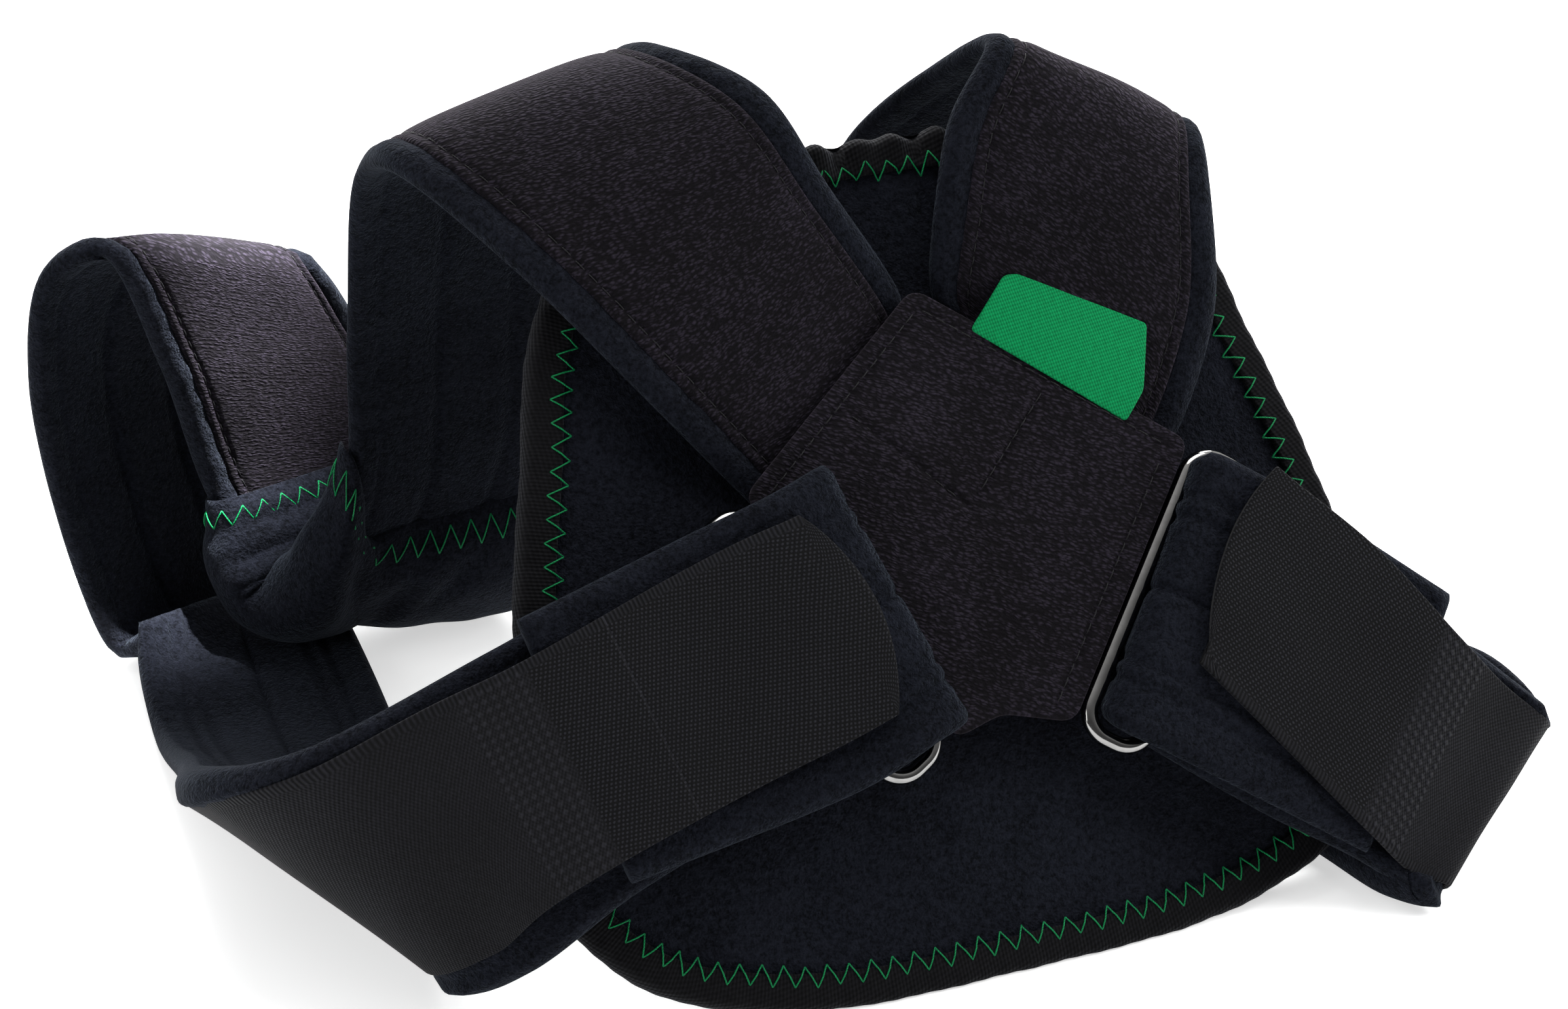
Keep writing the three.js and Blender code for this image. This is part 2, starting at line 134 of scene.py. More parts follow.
# Strap tables: a row for each section with the strap's two edges, in millimetres
LEFT_SHOULDER = [
    {"at": "under_panel", "near": (-56, 37, 89), "far": (-26, 72, 119)},
    {"at": "panel_edge", "near": (-61, 38, 94), "far": (-27, 73, 123)},
    {"at": "rise", "near": (-82, 42, 116), "far": (-42, 79, 145)},
    {"at": "front", "near": (-108, 53, 139), "far": (-55, 86, 163)},
    {"at": "top", "near": (-134, 72, 152), "far": (-73, 97, 167)},
    {"at": "over", "near": (-143, 91, 140), "far": (-83, 113, 158)},
    {"at": "down", "near": (-148, 105, 95), "far": (-92, 130, 109)},
    {"at": "entry", "near": (-152, 110, 47), "far": (-98, 137, 53)},
    {"at": "valley", "near": (-168, 117, 17), "far": (-117, 146, 13)},
    {"at": "exit", "near": (-184, 126, 40), "far": (-138, 161, 38)},
    {"at": "up", "near": (-193, 121, 80), "far": (-150, 158, 68)},
    {"at": "arch", "near": (-204, 116.2, 110.4), "far": (-161, 151, 90)},
    {"at": "crest", "near": (-216, 116.8, 105), "far": (-172.5, 154, 82)},
    {"at": "left", "near": (-222, 118, 76), "far": (-181, 158, 60)},
    {"at": "kink", "near": (-214, 118.5, 18), "far": (-173.5, 158.5, 16)},
    {"at": "curl", "near": (-208, 117.5, 4.6), "far": (-169.5, 158.5, 3.8)},
    {"at": "seam", "near": (-200.5, 114, 10), "far": (-166.5, 158, 3.2)},
]
RIGHT_SHOULDER = [
    {"at": "under_panel", "near": (-19, 75, 119), "far": (29, 67, 84)},
    {"at": "panel_edge", "near": (-20, 77, 123), "far": (34, 73, 88)},
    {"at": "rise", "near": (-19, 80, 140), "far": (42, 84, 112)},
    {"at": "front", "near": (-16, 86, 157), "far": (41, 94, 134)},
    {"at": "top", "near": (-8, 98, 169), "far": (39, 107, 142)},
    {"at": "over", "near": (-18, 113, 157), "far": (34, 126, 128)},
    {"at": "down", "near": (-37, 126, 133), "far": (20, 143, 104)},
    {"at": "low", "near": (-50, 141, 88), "far": (8, 160, 74)},
    {"at": "entry", "near": (-56, 152, 48), "far": (4, 171, 46)},
    {"at": "valley", "near": (-52, 143, 12), "far": (7, 158, 12)},
    {"at": "floor", "near": (-34, 106, 3), "far": (25, 116, 3.4)},
]
LEFT_END = [
    {"at": "seam", "near": (-201, 113, 15.5), "far": (-164.5, 155, 6.2)},
    {"at": "bend", "near": (-200.5, 105, 8), "far": (-158, 143, 2.8)},
    {"at": "floor", "near": (-195, 84, 3.2), "far": (-143, 98, 3.2)},
    {"at": "turn", "near": (-183.5, 42, 22), "far": (-127, 36, 6)},
    {"at": "fold", "near": (-172.5, -4, 50), "far": (-115, -21, 9)},
    {"at": "front", "near": spot(-143, 72, -3), "far": spot(-105, 18, -3)},
    {"at": "middle", "near": spot(-101, 84, 5.5), "far": spot(-82, 29, 5.5)},
    {"at": "before_ring", "near": spot(-66, 94, 3.3), "far": spot(-36, 42, 3.3)},
    {"at": "behind_bar", "near": spot(-54.5, 91, 2.9), "far": spot(-25.5, 42, 2.9)},
    {"at": "through", "near": spot(-48, 94.8, 7.5), "far": spot(-19.2, 45.7, 7.5)},
    {"at": "lap", "near": spot(-41.5, 99, 12.3), "far": spot(-12.8, 50, 12.3)},
    {"at": "loop", "near": spot(-26.5, 107, 14.8), "far": spot(-8, 48.5, 14.8)},
    {"at": "back", "near": spot(-40, 103, 17.4), "far": spot(-16, 45.5, 17.4)},
    {"at": "over_bar", "near": spot(-60, 98, 13.4), "far": spot(-30, 40, 13.4)},
    {"at": "raw_end", "near": spot(-97, 88.5, 11.8), "far": spot(-85, 31, 11.8)},
]
RIGHT_END = [
    {"at": "lap", "near": (-37, 112.5, 8.6), "far": (22.5, 122.5, 8.8)},
    {"at": "join", "near": (-30, 100, 5.4), "far": (29, 111.5, 7.6)},
    {"at": "roll", "near": (12, 80, 2.4), "far": (56, 110, 24)},
    {"at": "behind", "near": (60, 45, 2.2), "far": (87, 95, 25)},
    {"at": "turn", "near": (78.6, 22.5, 2.2), "far": (106.5, 77, 28.4)},
    {"at": "fold", "near": (86, 16.5, 4.2), "far": (116, 58, 28)},
    {"at": "front", "near": spot(78, 0, 7.6), "far": spot(117, 39, 4)},
    {"at": "middle", "near": spot(59, 15, 4.5), "far": spot(96, 61, 4.5)},
    {"at": "behind_bar", "near": spot(34.2, 36.6, 3.2), "far": spot(69.2, 83.4, 3.2)},
    {"at": "loop", "near": spot(26.6, 42.4, 7.3), "far": spot(61.8, 89.4, 7.3)},
    {"at": "crest", "near": spot(26.6, 40.4, 11.2), "far": spot(61.4, 93.6, 11.4)},
    {"at": "over_bar", "near": spot(37.5, 32, 12.4), "far": spot(72, 86.4, 12.6)},
    {"at": "raw_end", "near": spot(76.5, 2.5, 12), "far": spot(109.5, 53, 12)},
]
LEFT_TONGUE = [
    {"at": "step", "near": spot(-118, 75, 9), "far": spot(-103, 29.5, 8)},
    {"at": "lap", "near": spot(-100, 79.5, 14.8), "far": spot(-88, 35.5, 14.8)},
    {"at": "flat", "near": spot(-66, 90, 16.4), "far": spot(-54, 45, 16.4)},
    {"at": "rise", "near": spot(-48, 95, 18.6), "far": spot(-34, 50, 18.8)},
    {"at": "round", "near": spot(-36, 97.5, 20.4), "far": spot(-24, 53, 20.4)},
    {"at": "tip", "near": spot(-28, 100, 20.6), "far": spot(-16, 55.5, 20.6)},
]
RIGHT_TONGUE = [
    {"at": "step", "near": spot(85, -4, 14.5), "far": spot(118, 31, 11)},
    {"at": "lap", "near": spot(77, 6, 16), "far": spot(108, 43, 15.4)},
    {"at": "flat", "near": spot(62, 28, 15.8), "far": spot(93, 66, 15.8)},
    {"at": "round", "near": spot(46.5, 50, 16.4), "far": spot(76, 85, 16.4)},
    {"at": "tip", "near": spot(41, 58, 16.6), "far": spot(70.5, 92, 16.6)},
]

# Spans of strap rows that the armpit pads take
LEFT_SLEEVE_ROWS = (7.25, 9.0)
RIGHT_SLEEVE_ROWS = (7.75, 9.25)

# Hook tapes: rows of the strap end under each, bare shares at its edges, and the shape of its free end
HOOK_TAPES = [
    {"side": "left", "rows": (1.5, 5.0), "bare": (0.06, 0.125), "bulge": 6.8, "slant": 0.0, "seed": 41},
    {"side": "right", "rows": (4.25, 5.0), "bare": (0.11, 0.06), "bulge": 5.6, "slant": 6.0, "seed": 42},
]

# Looks of the hook tapes in millimetres: width, end of the twill, band of dots and pressed crease
TAPES = {
    "left_tape": {"width": 50.0, "seam": 196.0, "dots": (181.0, 195.0), "crease": 215.0},
    "right_tape": {"width": 51.0, "seam": 46.0, "dots": (34.0, 45.0), "crease": -20.0},
}
DARK_THREAD = (0.013, 0.013, 0.014)

# Soft lights in metres: each takes a share of the power that the stage names
LIGHTS = [
    {"name": "back_light", "at": (-0.1, 1.3, 1.0), "size": 1.5, "power": "back_light", "share": 1.0},
    {"name": "top_light", "at": (0.1, 0.3, 1.7), "size": 1.2, "power": "back_light", "share": 0.4},
    {"name": "right_light", "at": (0.85, 0.0, 0.5), "size": 0.5, "power": "right_light", "share": 1.0},
    {"name": "left_light", "at": (-0.75, -0.45, 0.3), "size": 0.5, "power": "left_light", "share": 1.0},
]
LIGHT_TARGET = (0.0, 0.0, 0.07)
ACCENT = {"at": (0.138, 0.088, 0.892), "target": (-0.125, 0.066, 0.096), "degrees": 4.8, "size": 0.015}

# The camera's place over the back's foot, in millimetres in the tables' frame
CAMERA_PLACE = (-51.0, -776.2, 555.5)


class BraceStraps(bpy.types.PropertyGroup):
    """Sizes of the padded straps and their ends."""

    thick: FloatProperty(
        name="Strap thickness",
        description="Padded thickness of a shoulder strap",
        default=4.6 * MM,
        unit="LENGTH",
    )
    end_thick: FloatProperty(
        name="End thickness", description="Thickness of a strap's soft end", default=4.4 * MM, unit="LENGTH"
    )
    border: FloatProperty(
        name="Border", description="Width of the rolled velour border", default=6.6 * MM, unit="LENGTH"
    )
    crown: FloatProperty(
        name="Crown", description="How far the middle of a strap stands out", default=1.3 * MM, unit="LENGTH"
    )
    channel: FloatProperty(
        name="Channel depth", description="Depth of the sewn channels inside", default=0.9 * MM, unit="LENGTH"
    )
    hook_thick: FloatProperty(
        name="Hook tape thickness", description="Thickness of the hook tape", default=1.4 * MM, unit="LENGTH"
    )


class BracePads(bpy.types.PropertyGroup):
    """Sizes of the back pad, its binding, the panel and the armpit pads."""

    thick: FloatProperty(
        name="Pad thickness", description="Thickness of the back pad", default=5 * MM, unit="LENGTH"
    )
    curl: FloatProperty(
        name="Curl", description="How far the sides of the back bend away", default=5 * MM, unit="LENGTH"
    )
    binding: FloatProperty(
        name="Binding reach",
        description="How far the binding reaches onto the pad",
        default=5.6 * MM,
        unit="LENGTH",
    )
    panel_thick: FloatProperty(
        name="Panel thickness", description="Thickness of the cross panel", default=2 * MM, unit="LENGTH"
    )
    sleeve_wall: FloatProperty(
        name="Sleeve wall", description="Wall of an armpit pad", default=3.6 * MM, unit="LENGTH"
    )


class BraceThreads(bpy.types.PropertyGroup):
    """Sizes of the stitching."""

    zigzag_pitch: FloatProperty(
        name="Zigzag pitch", description="Length of one zigzag", default=5 * MM, unit="LENGTH"
    )
    zigzag_width: FloatProperty(
        name="Zigzag width", description="Width of the zigzag", default=4.5 * MM, unit="LENGTH"
    )
    thread: FloatProperty(
        name="Thread", description="Diameter of the thread", default=0.34 * MM, unit="LENGTH"
    )
    stitch: FloatProperty(
        name="Stitch", description="Length of a straight stitch", default=3.2 * MM, unit="LENGTH"
    )


class BraceColours(bpy.types.PropertyGroup):
    """Colours of the cloths, thread and metal."""

    velour: FloatVectorProperty(
        name="Velour", description="Navy velour", default=(0.0046, 0.0053, 0.0081), subtype="COLOR"
    )
    knit: FloatVectorProperty(
        name="Knit", description="Brown-black loop knit", default=(0.0063, 0.0051, 0.0082), subtype="COLOR"
    )
    jersey: FloatVectorProperty(
        name="Jersey", description="Black binding", default=(0.0022, 0.0022, 0.0028), subtype="COLOR"
    )
    tape: FloatVectorProperty(
        name="Hook tape", description="Dark grey hook tape", default=(0.0041, 0.0042, 0.0056), subtype="COLOR"
    )
    green: FloatVectorProperty(
        name="Green",
        description="Green of the thread and the tab",
        default=(0.002, 0.22, 0.068),
        subtype="COLOR",
    )
    metal: FloatVectorProperty(
        name="Metal", description="Dark nickel plate", default=(0.25, 0.247, 0.243), subtype="COLOR"
    )


class BraceStage(bpy.types.PropertyGroup):
    """Camera and light."""

    focal: FloatProperty(
        name="Focal length", description="Camera lens on a 36 mm sensor, in millimetres", default=102.9
    )
    elevation: FloatProperty(
        name="Elevation",
        description="How steeply the camera looks down",
        default=math.radians(30),
        subtype="ANGLE",
    )
    back_light: FloatProperty(
        name="Back light", description="Power of the large light behind", default=48.0, unit="POWER"
    )
    right_light: FloatProperty(
        name="Right light", description="Power of the soft light on the right", default=4.2, unit="POWER"
    )
    left_light: FloatProperty(
        name="Left light", description="Power of the soft light on the left", default=2.3, unit="POWER"
    )
    accent_light: FloatProperty(
        name="Accent light",
        description="Power of the narrow light on the far arch",
        default=640.0,
        unit="POWER",
    )
    round_light: FloatProperty(
        name="Light all round", description="Strength of the even white light all round", default=0.5
    )


# Curves and sheets


def unit(vectors):
    """Vectors made one long."""
    return vectors / np.linalg.norm(vectors, axis=-1, keepdims=True)


def bell(x, width):
    """A smooth hump: 1 at zero, falling off over width to both sides."""
    return np.exp(-((x / width) ** 2))


def run_along(points):
    """Length along a line of places, from its first place."""
    return np.concatenate([[0.0], np.cumsum(np.linalg.norm(np.diff(points, axis=0), axis=1))])


def at_lengths(at, run, points):
    """Places at lengths along a line of places whose own lengths are run."""
    return np.stack([np.interp(at, run, points[:, k]) for k in range(points.shape[1])], -1)


def catmull(points, u):
    """Places on a centripetal Catmull-Rom curve through the rows, at row numbers u."""
    p = np.asarray(points, float)
    ends = np.vstack([2 * p[0] - p[1], p, 2 * p[-1] - p[-2]])
    u = np.clip(np.asarray(u, float), 0, len(p) - 1)
    i = np.clip(np.floor(u).astype(int), 0, len(p) - 2)
    t = (u - i)[..., None]
    p0, p1, p2, p3 = (ends[i + k] for k in range(4))
    d0, d1, d2 = (
        np.sqrt(np.linalg.norm(b - a, axis=-1, keepdims=True)) for a, b in ((p0, p1), (p1, p2), (p2, p3))
    )
    t1 = ((p1 - p0) / d0 - (p2 - p0) / (d0 + d1) + (p2 - p1) / d1) * d1
    t2 = ((p2 - p1) / d1 - (p3 - p1) / (d1 + d2) + (p3 - p2) / d2) * d1
    c2 = -3 * p1 + 3 * p2 - 2 * t1 - t2
    c3 = 2 * p1 - 2 * p2 + t1 + t2
    return p1 + t1 * t + c2 * t ** 2 + c3 * t ** 3


class Sheet:
    """The surface between the two edge curves of a strap table."""

    def __init__(self, rows):
        self.near = np.array([r["near"] for r in rows], float)
        self.far = np.array([r["far"] for r in rows], float)
        self.last = len(rows) - 1

    def line(self, u, v):
        near, far = catmull(self.near, u), catmull(self.far, u)
        return near + (far - near) * np.asarray(v, float)[..., None]

    def normal(self, u, v):
        step = 0.04
        travel = self.line(u + step, v) - self.line(u - step, v)
        across = catmull(self.far, u) - catmull(self.near, u)
        return unit(np.cross(across, travel))

    def place(self, u, v, lift):
        u, v, lift = np.broadcast_arrays(np.asarray(u, float), np.asarray(v, float), np.asarray(lift, float))
        return self.line(u, v) + self.normal(u, v) * lift[..., None]

    def width(self, u):
        return np.linalg.norm(catmull(self.far, u) - catmull(self.near, u), axis=-1)

    def lengths(self, u):
        """Length along the middle at row numbers u, in millimetres."""
        return run_along(self.line(u, np.full(len(u), 0.5)))

    def rows_every(self, start, stop, step):
        """Row numbers from start to stop about step millimetres apart."""
        fine = np.linspace(start, stop, 900)
        run = self.lengths(fine)
        return np.interp(np.linspace(0, run[-1], max(3, int(run[-1] / step) + 1)), run, fine)


def closed_curve(points, count):
    """Evenly spaced places on a closed smooth curve through points."""
    p = np.asarray(points, float)
    wrapped = np.vstack([p[-2:], p, p[:3]])
    fine = catmull(wrapped, np.linspace(2, 2 + len(p), 2400))
    run = run_along(fine)
    return at_lengths(np.linspace(0, run[-1], count, endpoint=False), run, fine), run[-1]


def ripple(points, wavelength, seed, waves=7):
    """Smooth random dents over places in space, about -1 to 1."""
    draw = np.random.RandomState(seed)
    total = np.zeros(points.shape[:-1])
    for _ in range(waves):
        way = unit(draw.normal(size=3))
        span = wavelength * draw.uniform(0.7, 1.5)
        total += np.sin(points @ way * (2 * math.pi / span) + draw.uniform(0, 2 * math.pi))
    return total / math.sqrt(waves)


def settle(points, lowest=0.25):
    """Nothing reaches under the floor: cloth lies flat there."""
    points = points.copy()
    points[..., 2] = np.maximum(points[..., 2], lowest)
    return points


# Meshes


def mesh_piece(name, verts, faces, uvs, cloth):
    """A piece from places in millimetres in the tables' frame, riding on the brace."""
    mesh = bpy.data.meshes.new(name)
    mesh.from_pydata(((verts + SHIFT) * MM).tolist(), [], faces)
    layer = mesh.uv_layers.new(name=UV_NAME)
    layer.data.foreach_set("uv", (np.asarray(uvs, float).reshape(-1) * MM).astype(np.float32))
    mesh.polygons.foreach_set("use_smooth", np.full(len(mesh.polygons), True))
    mesh.materials.append(material(cloth))
    mesh.update()
    piece = bpy.data.objects.new(name, mesh)
    bpy.context.scene.collection.objects.link(piece)
    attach(piece, "root")
    return piece


def grid_faces(rows, columns, row_loop, column_loop):
    """Quads of a grid whose rows or columns may close on themselves, as corner numbers."""
    i = np.arange(rows if row_loop else rows - 1)[:, None]
    j = np.arange(columns if column_loop else columns - 1)[None, :]
    i, j = np.broadcast_arrays(i, j)
    rows_on, columns_on = (i + 1), (j + 1)
    corners = [(i, j), (i, columns_on), (rows_on, columns_on), (rows_on, j)]
    ids = np.stack([(a % rows) * columns + (b % columns) for a, b in corners], -1)
    return ids.reshape(-1, 4), np.stack([np.stack(c, -1) for c in corners], -2).reshape(-1, 4, 2)


def end_caps(rows, columns):
    """The first and the last row of a grid as faces."""
    first = list(range(columns))
    return [first[::-1], [(rows - 1) * columns + j for j in first]]


def outward_piece(name, verts, quads, uvs, caps, cap_uv, cloth):
    """A piece from quads and end caps, turned to face outward. cap_uv gives a cap's corner its place."""
    faces = quads.tolist() + caps
    uvs = uvs.reshape(-1, 2).tolist() + [cap_uv(k) for cap in caps for k in cap]
    if signed_volume(verts, quads) < 0:
        faces, uvs = turned_over(faces, uvs)
    return mesh_piece(name, verts, faces, uvs, cloth)


def grid_piece(name, points, along, girth, cloth, loop=False):
    """A tube from rows of places. It is capped at both ends, or closes on itself as a loop."""
    rows, columns = points.shape[:2]
    ids, cells = grid_faces(rows, columns, loop, True)
    along_on = np.append(along, 2 * along[-1] - along[-2])
    girth_on = np.concatenate([girth, 2 * girth[:, -1:] - girth[:, -2:-1]], axis=1)
    uvs = np.stack([along_on[cells[..., 0]], girth_on[cells[..., 0] % rows, cells[..., 1]]], -1)
    caps = [] if loop else end_caps(rows, columns)

    def cap_uv(k):
        return [along[k // columns], girth[k // columns, k % columns]]

    return outward_piece(name, points.reshape(-1, 3), ids, uvs, caps, cap_uv, cloth)


def signed_volume(verts, quads):
    """Volume inside quads that face outward, about their own middle."""
    p = verts[quads] - verts.mean(axis=0)
    first = np.einsum("ij,ij->i", p[:, 0], np.cross(p[:, 1], p[:, 2])).sum()
    return first + np.einsum("ij,ij->i", p[:, 0], np.cross(p[:, 2], p[:, 3])).sum()


def turned_over(faces, uvs):
    """The same faces and corners seen from the other side."""
    turned, corners, start = [], [], 0
    for f in faces:
        turned.append(f[::-1])
        corners.extend(uvs[start:start + len(f)][::-1])
        start += len(f)
    return turned, corners


def girth_of(points):
    """Length round each row of places, from its first place."""
    steps = np.linalg.norm(np.diff(points, axis=1), axis=2)
    return np.concatenate([np.zeros((len(points), 1)), np.cumsum(steps, axis=1)], axis=1)


def threads(name, paths, normals, radius, cloth, sides):
    """Many short threads as one mesh. paths and normals are arrays of thread, point, xyz."""
    travel = unit(np.gradient(paths, axis=1))
    side = unit(np.cross(travel, normals))
    upward = np.cross(side, travel)
    angle = np.linspace(0, 2 * math.pi, sides, endpoint=False)
    ring = side[:, :, None] * np.cos(angle)[:, None] + upward[:, :, None] * np.sin(angle)[:, None]
    verts = (paths[:, :, None] + ring * radius).reshape(-1, 3)
    many, long = paths.shape[:2]
    ids, cells = grid_faces(long, sides, False, True)
    first = np.arange(many) * long * sides
    faces = (ids[None] + first[:, None, None]).reshape(-1, 4)
    side_step = 0.25
    girth = np.broadcast_to(cells[..., 1] * side_step, (many,) + cells.shape[:2])
    uvs = np.stack([girth_of(paths)[:, cells[..., 0]], girth], -1)
    caps = [[start + k for k in cap] for start in first.tolist() for cap in end_caps(long, sides)]
    cap_uvs = [[0.0, 0.0]] * (2 * sides * many)
    return mesh_piece(name, verts, faces.tolist() + caps, uvs.reshape(-1, 2).tolist() + cap_uvs, cloth)


LEG_STEPS = np.linspace(0, 1, 7)


def zigzag_legs(length, pitch):
    """Lengths along each leg of a zigzag that fits a closed line, the legs' ways and the fitted pitch."""
    pitch = length / round(length / pitch)
    legs = np.arange(int(round(2 * length / pitch)))[:, None]
    return legs * pitch / 2 + LEG_STEPS * pitch / 2, np.where(legs % 2 == 0, 1.0, -1.0), pitch


# Materials


class Value:
    """A node's output socket. Arithmetic on it adds Math nodes to its shader."""

    def __init__(self, shader, socket):
        self.shader = shader
        self.socket = socket

    def math(self, operation, *others):
        inputs = dict(enumerate((self,) + others))
        return self.shader.node("ShaderNodeMath", {"operation": operation}, inputs)

    def __add__(self, other):
        return self.math("ADD", other)

    def __sub__(self, other):
        return self.math("SUBTRACT", other)

    def __rsub__(self, other):
        return self.shader.node("ShaderNodeMath", {"operation": "SUBTRACT"}, {0: other, 1: self})

    def __mul__(self, other):
        return self.math("MULTIPLY", other)

    __radd__ = __add__
    __rmul__ = __mul__

    def between(self, low, high):
        """0 below low, 1 above high, smooth between."""
        settings = {"interpolation_type": "SMOOTHSTEP"}
        return self.shader.node("ShaderNodeMapRange", settings, {0: self, 1: low, 2: high, 3: 0.0, 4: 1.0})

    def wave(self, period, shift=None):
        """Even ups and downs from 0 to 1 with a period in metres, moved by a shift in radians."""
        turns = self * (2 * math.pi / period)
        return (turns if shift is None else turns + shift).math("SINE") * 0.5 + 0.5


class Shader:
    """One material and its nodes."""

    def __init__(self, name):
        self.material = bpy.data.materials.new(name)
        self.material.use_nodes = True
        self.tree = self.material.node_tree
        self.surface = self.tree.nodes["Principled BSDF"]

    def node(self, kind, settings=None, inputs=None, output=0):
        """A node of a kind with its settings, then the values or links of its sockets. Gives one output."""
        made = self.tree.nodes.new(kind)
        for key, value in (settings or {}).items():
            setattr(made, key, value)
        for key, value in (inputs or {}).items():
            self.feed(made.inputs[key], value)
        return Value(self, made.outputs[output])

    def feed(self, socket, value):
        if isinstance(value, Value):
            self.tree.links.new(value.socket, socket)
        else:
            socket.default_value = value

    def set(self, **sockets):
        """Sockets of the surface by name, with _ for a space."""
        for key, value in sockets.items():
            if isinstance(value, (tuple, list)) and len(value) == 3:
                value = (*value, 1.0)
            self.feed(self.surface.inputs[key.replace("_", " ")], value)
        return self.material

    def cloth(self):
        """Along and across on the cloth, in metres."""
        uv = self.node("ShaderNodeUVMap", {"uv_map": UV_NAME})
        along = self.node("ShaderNodeSeparateXYZ", None, {0: uv}, 0)
        across = self.node("ShaderNodeSeparateXYZ", None, {0: uv}, 1)
        return along, across

    def vector(self, x, y):
        return self.node("ShaderNodeCombineXYZ", None, {0: x, 1: y})

    def place(self):
        return self.node("ShaderNodeTexCoord", None, None, "Object")

    def noise(self, vector, scale, detail=2.0, rough=0.5):
        inputs = {"Vector": vector, "Scale": scale, "Detail": detail, "Roughness": rough}
        return self.node("ShaderNodeTexNoise", None, inputs, "Fac")

    def cells(self, vector, scale, randomness=1.0):
        inputs = {"Vector": vector, "Scale": scale, "Randomness": randomness}
        return self.node("ShaderNodeTexVoronoi", None, inputs, "Distance")

    def mix(self, factor, first, second):
        ends = {0: factor, 6: (*first, 1.0), 7: (*second, 1.0)}
        return self.node("ShaderNodeMix", {"data_type": "RGBA"}, ends, 2)

    def blend(self, factor, first, second):
        return self.node("ShaderNodeMix", {"data_type": "FLOAT"}, {0: factor, 2: first, 3: second})

    def bump(self, height, strength, depth):
        return self.node("ShaderNodeBump", None, {"Height": height, "Strength": strength, "Distance": depth})


def shade(colour, amount):
    return tuple(c * amount for c in colour)


def velour_material(colour):
    """Brushed velour: short pile with lighter and darker brushed patches."""
    s = Shader("velour")
    place = s.place()
    pile = s.noise(place, 1900.0, 2.0, 0.6)
    tufts = s.noise(place, 800.0, 2.0, 0.6)
    brushed = s.noise(place, 75.0, 3.0, 0.6)
    tone = (pile * 0.65 + tufts * 0.8 + brushed * 0.3).between(0.55, 1.2)
    base = s.mix(tone, shade(colour, 0.3), shade(colour, 1.9))
    height = pile * 0.6 + tufts * 0.9
    return s.set(
        Base_Color=base,
        Roughness=1.0 - tone * 0.1,
        Sheen_Weight=0.085,
        Sheen_Roughness=0.36,
        Sheen_Tint=(0.46, 0.56, 0.7),
        Specular_IOR_Level=0.05,
        Normal=s.bump(height, 0.8, 0.0009),
    )


def knit_material(name, colour, course, lean):
    """Loop knit: short loops lying in courses. Lean turns the courses from straight across."""
    s = Shader(name)
    along, across = s.cloth()
    turn = math.radians(lean)
    down = along * math.cos(turn) + across * math.sin(turn)
    over = across * math.cos(turn) - along * math.sin(turn)
    sway = s.noise(s.vector(along, across), 210.0, 2.0) * 0.0016
    loops = s.cells(s.vector((down + sway) * (2.1 / course), over * (0.85 / course)), 1.0, 0.8)
    fine = s.noise(s.vector(down * 2.0, over), 1500.0, 2.0)
    rows = (down + sway).wave(course)
    loop = 1.0 - loops.between(0.1, 0.7)
    worn = s.noise(s.place(), 60.0, 3.0)
    tone = (loop * 0.55 + fine * 0.5 + rows * 0.12 + worn * 0.4).between(0.45, 1.3)
    base = s.mix(tone, shade(colour, 0.2), shade(colour, 2.7))
    height = loop * 0.6 + rows * 0.2 + fine * 0.4
    return s.set(
        Base_Color=base,
        Roughness=0.96 - tone * 0.16,
        Sheen_Weight=0.07,
        Sheen_Roughness=0.45,
        Sheen_Tint=(0.72, 0.58, 0.78),
        Specular_IOR_Level=0.1,
        Normal=s.bump(height, 0.5, 0.0008),
    )


def jersey_material(colour):
    """Fine jersey: slim upright ribs of knit stitches."""
    s = Shader("jersey")
    along, across = s.cloth()
    ribs = along.wave(0.0008)
    steps = (across + along * 0.35).wave(0.0011)
    lint = s.noise(s.place(), 1200.0, 2.0)
    tone = (ribs * 0.35 + steps * 0.3 + lint * 0.6).between(0.25, 1.15)
    base = s.mix(tone, shade(colour, 0.4), shade(colour, 2.0))
    return s.set(
        Base_Color=base,
        Roughness=0.92 - tone * 0.12,
        Sheen_Weight=0.05,
        Sheen_Roughness=0.4,
        Sheen_Tint=(0.6, 0.65, 0.8),
        Specular_IOR_Level=0.1,
        Normal=s.bump(ribs * 0.5 + steps * 0.4 + lint * 0.5, 0.5, 0.0005),
    )


